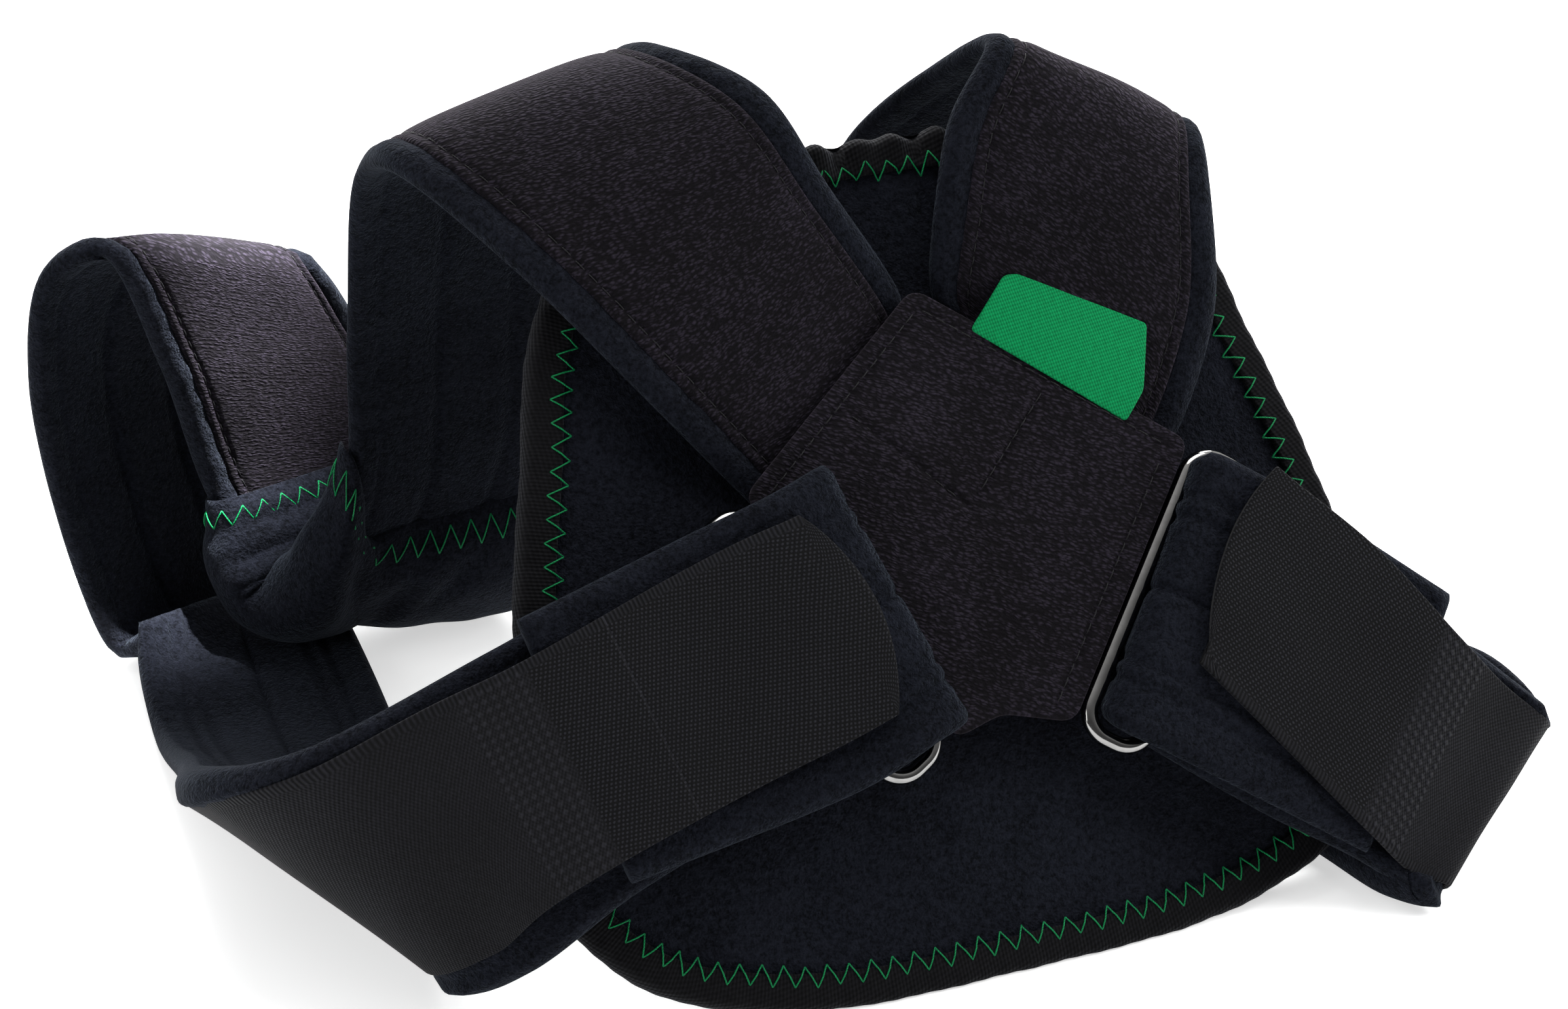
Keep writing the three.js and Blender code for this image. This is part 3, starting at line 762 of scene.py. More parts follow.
def tape_material(colour, width, seam, dots, crease):
    """Hook tape: twill with combed edges, a band of dots, then rows of tiny hooks whose crests carry a
    painted glint in the colour, and a pressed crease.
    """
    s = Shader("hook_tape_" + str(int(width)))
    along, across = s.cloth()
    shake = s.noise(s.vector(along, across), 620.0, 2.0) * 3.2
    lint = s.noise(s.place(), 1400.0, 2.0)
    patch = s.noise(s.place(), 45.0, 3.0)
    twill = (along * 1.2 + across * 0.9).wave(0.00105)
    weft = (along - across * 0.7).wave(0.0008)
    slant = (along + across * 0.55).wave(0.00105, shake)
    bank = (across - along * 0.32).wave(0.00092, shake * -0.7)
    # The hook rows are a real raised pattern for the bump, and they also lighten the base colour at their
    # crests as a painted glint.
    hooks_and_glints = (slant * bank).between(0.12, 0.85)
    comb = along.wave(0.00095)
    edge = (across - width * MM / 2).math("ABSOLUTE").between((width / 2 - 2.6) * MM, (width / 2 - 1.8) * MM)
    hooked = along.between((seam - 0.6) * MM, (seam + 0.6) * MM)
    ball = s.cells(s.vector(along * (1 / 0.002), across * (1 / 0.002)), 1.0, 0.0)
    first, last = dots
    begun = along.between((first - 1) * MM, first * MM)
    dotted = begun * (1.0 - along.between(last * MM, (last + 1) * MM))
    dot = (1.0 - ball.between(0.1, 0.42)) * dotted
    line = 1.0 - (along - crease * MM).math("ABSOLUTE").between(0.1 * MM, 0.45 * MM)
    plain = twill * 0.32 + weft * 0.2
    woven = s.blend(hooked, plain, hooks_and_glints * 0.85)
    inner = s.blend(edge, woven, comb * 0.5)
    # The tone carries the painted hook glints as lighter colour.
    tone = (inner + dot * 0.4 + lint * 0.45 + patch * 0.3 + line * 0.3).between(0.35, 1.5)
    base = s.mix(tone, shade(colour, 0.4), shade(colour, 3.6))
    return s.set(
        Base_Color=base,
        Roughness=0.8 - tone * 0.2,
        Sheen_Weight=0.02,
        Sheen_Roughness=0.4,
        Specular_IOR_Level=0.11,
        Normal=s.bump(inner * 0.8 + dot * 1.2 + lint * 0.2 - line * 0.4, 0.7, 0.0007),
    )


def satin_material(colour):
    """Woven satin tab: fine upright floats with a soft shine."""
    s = Shader("green_satin")
    along, across = s.cloth()
    floats = (along + across * 0.2).wave(0.00055)
    picks = (across - along * 0.1).wave(0.0008)
    slub = s.noise(s.vector(along * 3.0, across), 420.0, 2.0)
    tone = (floats * 0.4 + picks * 0.35 + slub * 0.45).between(0.2, 1.05)
    base = s.mix(tone, shade(colour, 0.5), shade(colour, 1.1))
    return s.set(
        Base_Color=base,
        Roughness=0.6 - tone * 0.12,
        Specular_IOR_Level=0.06,
        Normal=s.bump(floats * 0.5 + picks * 0.6, 0.4, 0.00025),
    )


def thread_material(name, colour):
    """Twisted sewing thread."""
    s = Shader(name)
    along, across = s.cloth()
    twist = (along * 0.9 + across).wave(0.0006)
    lint = s.noise(s.place(), 1800.0, 1.0)
    tone = (twist * 0.6 + lint * 0.5).between(0.2, 0.9)
    base = s.mix(tone, shade(colour, 0.55), shade(colour, 1.2))
    return s.set(
        Base_Color=base,
        Roughness=0.55 - tone * 0.1,
        Specular_IOR_Level=0.15,
        Normal=s.bump(twist, 0.35, 0.0002),
    )


def metal_material(colour):
    """Dark nickel plate with faint haze and rubbed patches."""
    s = Shader("dark_nickel")
    place = s.place()
    haze = s.noise(place, 240.0, 3.0)
    rubs = s.noise(place, 900.0, 2.0)
    tone = (haze * 0.7 + rubs * 0.3).between(0.3, 0.75)
    return s.set(
        Base_Color=s.mix(tone, shade(colour, 0.85), shade(colour, 1.1)),
        Metallic=1.0,
        Roughness=0.07 + tone * 0.08,
        Normal=s.bump(rubs, 0.03, 0.0002),
    )


MATERIALS = {}


def material(name):
    """The named material, made once."""
    if name not in MATERIALS:
        colours = bpy.context.scene.brace_colours
        makers = {
            "velour": lambda: velour_material(colours.velour),
            "cover_knit": lambda: knit_material("cover_knit", colours.knit, course=0.00105, lean=12),
            "panel_knit": lambda: knit_material("panel_knit", colours.knit, course=0.00115, lean=62),
            "jersey": lambda: jersey_material(colours.jersey),
            "left_tape": lambda: tape_material(colours.tape, **TAPES["left_tape"]),
            "right_tape": lambda: tape_material(colours.tape, **TAPES["right_tape"]),
            "green_satin": lambda: satin_material(colours.green),
            "green_thread": lambda: thread_material("green_thread", shade(colours.green, 0.8)),
            "dark_thread": lambda: thread_material("dark_thread", DARK_THREAD),
            "metal": lambda: metal_material(colours.metal),
        }
        MATERIALS[name] = makers[name]()
    return MATERIALS[name]


# Straps

LEFT = Sheet(LEFT_SHOULDER)
RIGHT = Sheet(RIGHT_SHOULDER)
LEFT_LOW = Sheet(LEFT_END)
RIGHT_LOW = Sheet(RIGHT_END)
STRAP_WIDTH = 60.0

# Steps in from a strap's edge, and from its cover's edge, closer together where the cloth turns
EDGE_STEPS = np.concatenate([
    [0, 0.2, 0.5, 0.9, 1.4, 2.0, 2.7, 3.5, 4.3, 5.1, 5.8, 6.4, 7.0, 7.8],
    np.arange(8.9, 29.5, 1.25),
])
COVER_STEPS = np.array([
    0, 0.15, 0.45, 0.9, 1.4, 1.9, 2.3, 2.6, 2.9, 3.3, 3.9, 4.8, 6.2, 8.2, 10.5, 13, 16, 19.5,
])

# How far a cover is tucked into the border, and its stitch lines from its edge
TUCK = 0.4
STITCH_INSET = 2.6


def shares_across(steps):
    """Shares across a strap: at steps in from its near edge, in the middle, and in from its far edge."""
    return np.concatenate([steps, [STRAP_WIDTH / 2], STRAP_WIDTH - steps[::-1]])[None, :] / STRAP_WIDTH


def from_edge(v):
    """Millimetres from the nearer edge of a strap at shares v across."""
    return STRAP_WIDTH * np.minimum(v, 1 - v)


def round_trip(out, back):
    """Columns over the outer face and back along the inner one."""
    return np.concatenate([out, back[:, ::-1]], 1)


def puckers(run, every, sway, sway_every):
    """Uneven ripples along a seam."""
    return np.sin(run * (2 * math.pi / every) + sway * np.sin(run / sway_every))


def edge_rise(e, radius):
    """A quarter round over the first stretch from an edge, then level."""
    x = np.clip(e / radius, 0, 1)
    return np.sqrt(1 - (1 - x) ** 2)


def crown_at(u, v, height):
    """A padded strap is crowned, but lies flat where the panel holds it down."""
    return height * np.clip(u - 1, 0, 1) * np.maximum(0, 4 * v * (1 - v))


def strap_lifts(u, v, thick, border, crown, channel):
    """Outer and inner lift of a padded shoulder strap, in millimetres."""
    e = from_edge(v)
    half = thick / 2
    bead = half * edge_rise(e, 3.0) + 0.45 * bell(e - 3.4, 1.9)
    dip = 0.75 * (1 / (1 + np.exp(-(e - border + 0.3) / 0.35)))
    rise = crown_at(u, v, crown)
    outer = bead - dip + rise
    seams = sum(bell((v - c) * STRAP_WIDTH, 1.5) for c in (0.35, 0.65))
    hem = bell(e - border, 1.0)
    inner = -half * edge_rise(e, 3.0) + rise * 0.6 + channel * seams + 0.35 * hem
    return outer, inner


def strap_piece(name, sheet, lifts, seed, dents):
    """A padded strap along a whole sheet. lifts gives its outer and inner faces."""
    u = sheet.rows_every(0, sheet.last, 2.0)[:, None]
    v = shares_across(EDGE_STEPS)
    outer, inner = (np.broadcast_to(x, (len(u), v.size)) for x in lifts(u, v))
    face, both = round_trip(outer, inner), round_trip(v, v)
    flat = sheet.place(u, both, face)
    e = from_edge(both)
    run = sheet.lengths(u[:, 0])
    pucker = 0.16 * puckers(run[:, None], 7.5, 3, 31) * bell(e - 5, 3)
    soft = dents * ripple(flat, 26.0, seed) + 0.3 * dents * ripple(flat, 9.0, seed + 1)
    sign = np.where(np.arange(face.shape[1]) < v.size, 1.0, -1.0)
    end = edge_rise(np.minimum(run, run[-1] - run)[:, None] + 0.35, 1.2)
    points = settle(sheet.place(u, both, face * end + (soft * 0.7 + pucker) * sign * np.minimum(1, e / 2)))
    return grid_piece(name, points, run, girth_of(points), "velour")


def cover_lift(u, v, thick, border, crown):
    """Outer lift of the sewn-on cover, with the dip along its stitch lines."""
    e = from_edge(v)
    inside = e - border
    hem = 0.95 * edge_rise(inside, 1.2)
    dip = 0.35 * bell(inside - STITCH_INSET, 0.7)
    swell = 0.55 * (1 - np.exp(-np.maximum(inside - STITCH_INSET, 0) / 4.0))
    return thick / 2 - 0.45 + hem - dip + swell + crown_at(u, v, crown)


def cover_piece(name, sheet, stop, sizes, seed):
    """The knit cover of a shoulder strap up to row stop, tucked in along both borders."""
    border = sizes["border"] - TUCK
    u = sheet.rows_every(0, stop, 2.0)[:, None]
    v = shares_across(border + COVER_STEPS)
    outer = cover_lift(u, v, sizes["thick"], border, sizes["crown"])
    under = sizes["thick"] / 2 - 1.0 + crown_at(u, v, sizes["crown"])
    face, both = round_trip(outer, np.broadcast_to(under, outer.shape)), round_trip(v, v)
    flat = sheet.place(u, both, face)
    e = from_edge(both) - border
    run = sheet.lengths(u[:, 0])
    top = (np.arange(face.shape[1]) < v.size) * 1.0
    pucker = 0.05 * puckers(run[:, None], 6.4, 2, 23) * bell(e - STITCH_INSET, 2.4)
    soft = 0.32 * ripple(flat, 30.0, seed) * np.minimum(1, np.maximum(e - 3, 0) / 6)
    points = settle(sheet.place(u, both, face + (soft + pucker) * top))
    piece = grid_piece(name, points, run, girth_of(points), "cover_knit")
    return piece, run[-1], 2 * (STRAP_WIDTH / 2 - border)


# The radius of a straight stitch as a share of the thread's diameter
STITCH_RADIUS = 0.36


def sewn_line(sheet, lift, start, stop, v, stitch, thread, seed):
    """Paths and normals of straight stitches along a sheet at share v across."""
    u = sheet.rows_every(start, stop, 0.4)
    run = sheet.lengths(u)
    draw = np.random.RandomState(seed)
    starts = np.arange(0.6, run[-1] - stitch, stitch)
    shares = np.linspace(0.02, 0.8, 6)
    at = starts[:, None] + shares[None, :] * stitch + draw.uniform(-0.12, 0.12, (len(starts), 1))
    rows = np.interp(at, run, u)
    sway = v + draw.uniform(-0.0022, 0.0022, (len(starts), 1)) + np.zeros_like(rows)
    arch = np.array([-0.5, 0.25, 0.5, 0.5, 0.25, -0.5]) * thread
    return sheet.place(rows, sway, lift(rows, sway) + arch), sheet.normal(rows, sway)


def straps_now():
    """The strap sizes in millimetres."""
    sizes = bpy.context.scene.brace_straps
    return {key: getattr(sizes, key) / MM for key in BraceStraps.__annotations__}


class BRACE_OT_shoulder_straps(bpy.types.Operator):
    """Builds the padded shoulder straps"""

    bl_idname = "brace.shoulder_straps"
    bl_label = "Shoulder straps"

    def execute(self, context):
        size = straps_now()

        def lifts(u, v):
            return strap_lifts(u, v, size["thick"], size["border"], size["crown"], size["channel"])

        for name, sheet, seed in (("left_shoulder_strap", LEFT, 11), ("right_shoulder_strap", RIGHT, 12)):
            piece = strap_piece(name + "_velour", sheet, lifts, seed, 0.35)
            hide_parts(name)
        return {"FINISHED"}


class BRACE_OT_shoulder_covers(bpy.types.Operator):
    """Builds the knit covers on the straps' outer faces and sews them down"""

    bl_idname = "brace.shoulder_covers"
    bl_label = "Shoulder covers"

    def execute(self, context):
        size = straps_now()
        thread = context.scene.brace_threads.thread / MM
        stitch = context.scene.brace_threads.stitch / MM
        border = size["border"] - TUCK
        rows = (
            ("left_shoulder_cover", LEFT, LEFT.last - 1.2, 21),
            ("right_shoulder_cover", RIGHT, RIGHT.last - 1, 22),
        )
        for name, sheet, stop, seed in rows:
            piece, length, width = cover_piece(name + "_knit", sheet, stop, size, seed)
            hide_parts(name)

            def lift(u, v):
                return cover_lift(u, v, size["thick"], border, size["crown"])

            share = (border + STITCH_INSET) / STRAP_WIDTH
            lines = [
                sewn_line(sheet, lift, 0.7, stop - 0.1, v, stitch, thread, seed) for v in (share, 1 - share)
            ]
            paths, normals = (np.concatenate(x) for x in zip(*lines))
            radius = thread * STITCH_RADIUS
            sewing = threads(name + "_stitches", paths, normals, radius, "dark_thread", 5)
            width * MM
            length * MM
            name.replace("cover", "strap") + "_velour"
        return {"FINISHED"}


class BRACE_OT_end_straps(bpy.types.Operator):
    """Builds the soft strap ends that run through the rings"""

    bl_idname = "brace.end_straps"
    bl_label = "Strap ends"

    def execute(self, context):
        size = straps_now()
        half = size["end_thick"] / 2

        for name, sheet, plump, stuffed, seed in (
            ("left_end_strap", LEFT_LOW, 4.0, 0.2, 31),
            ("right_end_strap", RIGHT_LOW, 5.0, 0.9, 32),
        ):

            def lifts(u, v):
                e = from_edge(v)
                full = (1 + 0.35 * bell(u - plump, 0.9)) * (0.6 + 0.4 * np.clip(u / 0.8, 0, 1))
                bead = 0.3 + 1.3 * bell(u - plump, 0.8)
                rise = half * full * edge_rise(e, 2.6) + bead * bell(e - 2.9, 1.5)
                seams = sum(bell((v - c) * STRAP_WIDTH, 0.9) for c in (0.16, 0.24, 0.5, 0.76, 0.84))
                deep = 1 + stuffed * bell(u - plump + 0.8, 1.5)
                return rise, -rise * deep + 1.1 * seams

            piece = strap_piece(name + "_velour", sheet, lifts, seed, 0.22)
            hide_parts(name)
        return {"FINISHED"}


# Hook tape

HOOK_GAP = 0.2


def hook_rows(sheet, span, bare, tongue, end_thick, hook_thick):
    """A table for the hook tape: on the strap's outer face first, then its own tongue."""
    middle = end_thick / 2 + HOOK_GAP + hook_thick / 2
    u = np.arange(span[0], span[1] + 0.01, 0.25)
    rows = [{"near": sheet.place(x, bare[0], middle), "far": sheet.place(x, 1 - bare[1], middle)} for x in u]
    return Sheet(rows + tongue)


class BRACE_OT_hook_strips(bpy.types.Operator):
    """Builds the hook tapes with their rounded free ends"""

    bl_idname = "brace.hook_strips"
    bl_label = "Hook tapes"

    def execute(self, context):
        size = straps_now()
        under = {"left": (LEFT_LOW, LEFT_TONGUE), "right": (RIGHT_LOW, RIGHT_TONGUE)}
        for row in HOOK_TAPES:
            name = row["side"] + "_hook_strip"
            low, tongue = under[row["side"]]
            tape = hook_rows(low, row["rows"], row["bare"], tongue, size["end_thick"], size["hook_thick"])
            piece, length, width = hook_piece(name + "_tape", tape, size["hook_thick"], row)
            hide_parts(name)
            width * MM
            length * MM
        return {"FINISHED"}


def hook_piece(name, tape, thick, row):
    """A thin tape along a sheet whose last row is cut to a shallow arc."""
    bulge, slant = row["bulge"], row["slant"]
    width = float(np.median(tape.width(np.linspace(0, tape.last, 60))))
    e = np.concatenate([[0, 0.12, 0.35, 0.8], np.arange(1.6, width / 2 - 0.5, 1.4)])
    v = np.concatenate([e / width, [0.5], 1 - e[::-1] / width])[None, :]
    u = tape.rows_every(0, tape.last - 1, 1.8)
    tip_rows = np.linspace(0, 1, 9)[1:]
    tip_length = np.linalg.norm(tape.line(tape.last, 0.5) - tape.line(tape.last - 1, 0.5))
    reach = (bulge * (1 - (2 * v - 1) ** 2) - slant * (1 - 2 * v) * 0.5) / tip_length
    last = tape.last - 1 + np.clip(reach, -0.9, 1) * tip_rows[:, None]
    rows = np.concatenate([np.broadcast_to(u[:, None], (len(u), v.size)), last])
    shares = np.broadcast_to(v, rows.shape)
    inside = width * np.minimum(shares, 1 - shares)
    half = thick / 2 * edge_rise(inside + 0.12, 0.5)
    run = np.concatenate([tape.lengths(u), tape.lengths(u)[-1] + bulge * tip_rows])
    end = edge_rise(np.minimum(run, run[-1] - run)[:, None] + 0.15, 0.5)
    flat = tape.place(rows, shares, 0)
    soft = 0.25 * ripple(flat, 34.0, row["seed"])
    outer = settle(tape.place(rows, shares, half * end + soft))
    inner = settle(tape.place(rows, shares, -half * end + soft))
    points = round_trip(outer, inner)
    girth = round_trip(shares * width, (2 - shares) * width)
    return grid_piece(name, points, run, girth, row["side"] + "_tape"), run[-1], width


# Back pad, binding and panel


def back_loop(count):
    """The outline of the back as evenly spaced places in its plane, and its length."""
    half = [(r["across"], r["up"]) for r in BACK_OUTLINE]
    other = [(-a, b) for a, b in half[:0:-1]]
    return closed_curve(half + other, count)


def loop_sides(loop):
    """Outward directions of a loop that runs against the clock."""
    travel = np.roll(loop, -1, axis=0) - np.roll(loop, 1, axis=0)
    return unit(np.stack([travel[:, 1], -travel[:, 0]], -1))


def back_curl(across, curl):
    return -curl * (across / BACK_HALF_WIDTH) ** 2


def shield_piece(name, loop, middle, place, shares, rim, cloth):
    """A flat padded piece: rings of places shrink from the outline to the middle on both faces."""
    turn = rim(loop)
    flats = [middle + (loop - middle) * share for share in shares]
    front = [place(flat, 1, share) for flat, share in zip(flats, shares)]
    behind = [place(flat, -1, share) for flat, share in zip(flats[::-1], shares[::-1])]
    points = np.array(front + turn + behind)
    uv = np.array(flats + [loop] * len(turn) + flats[::-1]).reshape(-1, 2)
    rows, columns = points.shape[:2]
    ids, _ = grid_faces(rows, columns, False, True)
    caps = end_caps(rows, columns)
    return outward_piece(
        name, points.reshape(-1, 3), ids, uv[ids], caps, lambda k: uv[k].tolist(), cloth
    )


class BRACE_OT_back_pad(bpy.types.Operator):
    """Builds the velour back pad"""

    bl_idname = "brace.back_pad"
    bl_label = "Back pad"

    def execute(self, context):
        pads = context.scene.brace_pads
        thick, curl = pads.thick / MM, pads.curl / MM
        loop, _ = back_loop(220)
        middle = np.array([0.0, BACK_MIDDLE])
        shares = np.concatenate([np.linspace(0.03, 0.9, 26), [0.93, 0.955, 0.975, 0.99]])

        def surface(flat, out):
            return settle(lifted(flat, out + back_curl(flat[:, 0], curl)), 1.5)

        def place(flat, side, share):
            level = (0.0 if side > 0 else -thick) + side * 0.7 * (1 - share ** 4)
            base = surface(flat, level)
            dent = 0.5 * ripple(base, 34.0, 51) + 0.18 * ripple(base, 13.0, 52)
            neck = np.clip((flat[:, 1] - 138) / 30, 0, 1)
            gather = 0.9 * neck * ripple(base * np.array([1, 1, 0.25]), 12.0, 53)
            return surface(flat, level + (dent + gather) * (1 - share ** 8))

        def rim(loop):
            side = loop_sides(loop)
            turns = np.linspace(0.15, math.pi - 0.15, 5)
            return [
                surface(loop - side * (1 - math.sin(a)) * 1.6, (math.cos(a) - 1) * thick / 2) for a in turns
            ]

        piece = shield_piece("back_pad_velour", loop, middle, place, shares, rim, "velour")
        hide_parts("back_pad")
        return {"FINISHED"}


def binding_section(reach, wall, pad):
    """The binding's section as pairs of reach and lift from the pad's rim, and the count of outer pairs."""
    gap = 0.3
    half = pad / 2
    bend = half + gap + wall
    top, under = gap + wall, -pad - gap - wall
    inward = [-reach * share for share in (0.8, 0.6, 0.4, 0.2)]
    turn = np.linspace(math.pi / 2, -math.pi / 2, 13)
    outer = [(-reach, gap), (-reach - 0.1, gap + wall * 0.6), (-reach + 0.5, top)]
    outer += [(x, top) for x in inward]
    outer += [(bend * 0.62 * math.cos(a), -half + bend * math.sin(a)) for a in turn]
    outer += [(x, under) for x in inward[::-1]]
    outer += [(-reach + 0.5, under), (-reach - 0.1, -pad - gap - wall * 0.6), (-reach, -pad - gap)]
    inner = [(-reach * 0.5, -pad - gap), (0, -pad - gap * 0.8), (gap, -half)]
    inner += [(0, gap * 0.8), (-reach * 0.5, gap)]
    return np.array(outer + inner), len(outer)


def binding_dents(run, length):
    """Gathers along the binding, stronger at the neck: run is the length along it."""
    small = 0.09 * np.sin(run * (2 * math.pi / 5.0)) + 0.14 * np.sin(run * (2 * math.pi / 17.3) + 1.3)
    neck = bell(run - length / 2, 55)
    deep = neck * (1.1 * np.sin(run * (2 * math.pi / 9.3)) + 0.9 * np.sin(run * (2 * math.pi / 15.1) + 0.6))
    return small + deep


class BRACE_OT_binding(bpy.types.Operator):
    """Builds the jersey binding of the back pad and its zigzag"""

    bl_idname = "brace.binding"
    bl_label = "Binding and zigzag"

    def execute(self, context):
        pads = context.scene.brace_pads
        thread = context.scene.brace_threads
        pad, curl, reach = pads.thick / MM, pads.curl / MM, pads.binding / MM
        count = 600
        loop, length = back_loop(count)
        side = loop_sides(loop)
        run = np.arange(count) * length / count
        section, outer_count = binding_section(reach, 1.0, pad)

        def surface(base, out_way, reach_by, out):
            flat = base + out_way * np.asarray(reach_by)[..., None]
            return lifted(flat, out + back_curl(flat[..., 0], curl))

        dents = binding_dents(run, length)[:, None]
        away = np.clip((section[:, 0] + reach) / reach, 0, 1)[None, :]
        outer = np.arange(len(section)) < outer_count
        sign = np.where(section[:, 1] > -pad / 2, 1.0, -1.0)
        out = section[None, :, 1] + dents * (sign * outer * (0.35 + 0.65 * away))
        wide = section[None, :, 0] + dents * (outer * 0.5 * away)
        points = settle(surface(loop[:, None], side[:, None], wide, out))
        girth = girth_of(points)
        piece = grid_piece("back_pad_binding_jersey", points, run, girth, "jersey", loop=True)
        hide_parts("back_pad_binding")
        sewing = [
            self.zigzag(name, loop, side, length, surface, pad, reach, thread, face)
            for name, face in (("back_pad_zigzag_front", 1), ("back_pad_zigzag_back", -1))
        ]
        return {"FINISHED"}

    def zigzag(self, name, loop, side, length, surface, pad, reach, thread, face):
        """Green zigzag over the inner edge of the binding, on one face."""
        at, way, pitch = zigzag_legs(length, thread.zigzag_pitch / MM)
        half = thread.zigzag_width / MM / 2
        draw = np.random.RandomState(61 if face > 0 else 62)
        corners = np.arange(len(at) + 1)[:, None] * pitch / 2
        neck = bell(corners - length / 2, 45)
        sway = draw.uniform(-0.25, 0.25, corners.shape) * (1 + 3.5 * neck)
        ends = sway[:-1] * (1 - LEG_STEPS) + sway[1:] * LEG_STEPS
        offset = -reach + 0.5 + way * half * (2 * LEG_STEPS - 1) + ends
        index = np.arange(len(loop) + 1) * length / len(loop)
        base = at_lengths(at % length, index, np.vstack([loop, loop[:1]]))
        out_way = at_lengths(at % length, index, np.vstack([side, side[:1]]))
        radius = thread.thread / MM / 2
        arch = np.array([-0.3, 0.2, 0.45, 0.5, 0.45, 0.2, -0.3]) * radius * 2
        dents = binding_dents(at, length) * 0.5
        on_binding = np.clip((offset + reach + 0.6) / 0.9, 0, 1)
        level = 0.7 + 0.62 * on_binding + dents * on_binding + arch
        out = level if face > 0 else -pad - level
        paths = settle(surface(base, out_way, offset, out), 0.2)
        normals = np.broadcast_to(OUT * face, paths.shape)
        return threads(name, paths, normals, radius, "green_thread", 6)


OUTLINE_PLACES = 260


def rounded_corners(corners, radius, per_corner):
    """Outline of a polygon with its corners rounded, closely spaced."""
    p = np.array(corners, float)
    out = []
    for i in range(len(p)):
        a, b, c = p[i - 1], p[i], p[(i + 1) % len(p)]
        before = b + unit(a - b) * radius
        after = b + unit(c - b) * radius
        t = np.linspace(0, 1, per_corner)[:, None]
        out.append((1 - t) ** 2 * before + 2 * t * (1 - t) * b + t ** 2 * after)
    dense = np.vstack(out)
    closed = np.vstack([dense, dense[:1]])
    run = run_along(closed)
    return at_lengths(np.linspace(0, run[-1], OUTLINE_PLACES, endpoint=False), run, closed)


def area_of(loop):
    """Area inside a flat outline."""
    on = np.roll(loop, -1, axis=0)
    return abs((loop[:, 0] * on[:, 1] - on[:, 0] * loop[:, 1]).sum()) / 2


def seam_depth(flat, seams):
    """How near places are to the sewn lines, 1 on a line and 0 away from it."""
    near = np.zeros(len(flat))
    for s in seams:
        a, b = np.array(s["from"], float), np.array(s["to"], float)
        t = np.clip(((flat - a) @ (b - a)) / ((b - a) @ (b - a)), 0, 1)
        gap = np.linalg.norm(flat - a - t[:, None] * (b - a), axis=1)
        near = np.maximum(near, bell(gap, 0.8))
    return near


class BRACE_OT_panel(bpy.types.Operator):
    """Builds the cross panel and its sewn lines"""

    bl_idname = "brace.panel"
    bl_label = "Cross panel"

    def execute(self, context):
        thick = context.scene.brace_pads.panel_thick / MM
        thread = context.scene.brace_threads.thread / MM
        stitch = context.scene.brace_threads.stitch / MM
        corners = [(c["across"], c["up"]) for c in PANEL_CORNERS]
        loop = rounded_corners(corners, 3.0, 6)
        middle = np.array([8.0, 88.0])
        shares = np.concatenate([np.linspace(0.02, 0.9, 44), [0.93, 0.955, 0.975, 0.99, 0.998]])

        def level(flat, share):
            bed = PANEL_LEVEL + thick
            base = lifted(flat, np.full(len(flat), bed))
            swell = 0.6 * (1 - share ** 6) + 0.3 * ripple(base, 30.0, 71) * (1 - share ** 8)
            return bed + swell - 0.55 * seam_depth(flat, PANEL_SEAMS)

        def place(flat, side, share):
            out = level(flat, share) if side > 0 else np.full(len(flat), PANEL_LEVEL)
            return lifted(flat, out)

        def rim(loop):
            side = loop_sides(loop)
            if ((loop - middle) * side).sum() < 0:
                side = -side
            turns = np.linspace(0.2, math.pi - 0.2, 5)
            return [
                lifted(loop + side * 0.5 * math.sin(a), PANEL_LEVEL + (1 + math.cos(a)) * thick / 2)
                for a in turns
            ]

        piece = shield_piece(
            "centre_panel_knit", loop, middle, place, shares, rim, "panel_knit"
        )
        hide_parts("centre_panel")
        paths, normals = [], []
        for seam in PANEL_SEAMS:
            a, b = np.array(seam["from"], float), np.array(seam["to"], float)
            long = np.linalg.norm(b - a)
            starts = np.arange(0.4, long - stitch, stitch)
            at = (starts[:, None] + np.linspace(0.02, 0.78, 6) * stitch) / long
            flat = a + at[..., None] * (b - a)
            arch = np.array([-0.6, 0.2, 0.45, 0.45, 0.2, -0.6]) * thread
            out = PANEL_LEVEL + thick + 0.22 + arch + np.zeros_like(at)
            paths.append(lifted(flat, out))
            normals.append(np.broadcast_to(OUT, paths[-1].shape))
        paths, normals = np.concatenate(paths), np.concatenate(normals)
        radius = thread * STITCH_RADIUS
        sewing = threads("centre_panel_stitches", paths, normals, radius, "dark_thread", 5)
        area = area_of(loop) * MM * MM
        return {"FINISHED"}


# Green tab: its outline in the plane of the back, from the panel's edge

LABEL_CORNERS = [
    {"across": 14.6, "up": 129.4},
    {"across": 24.0, "up": 139.4},
    {"across": 26.8, "up": 139.2},
    {"across": 53.6, "up": 123.4},
    {"across": 50.0, "up": 109.6},
    {"across": 45.0, "up": 103.8},
]
LABEL_LEVEL = 9.1


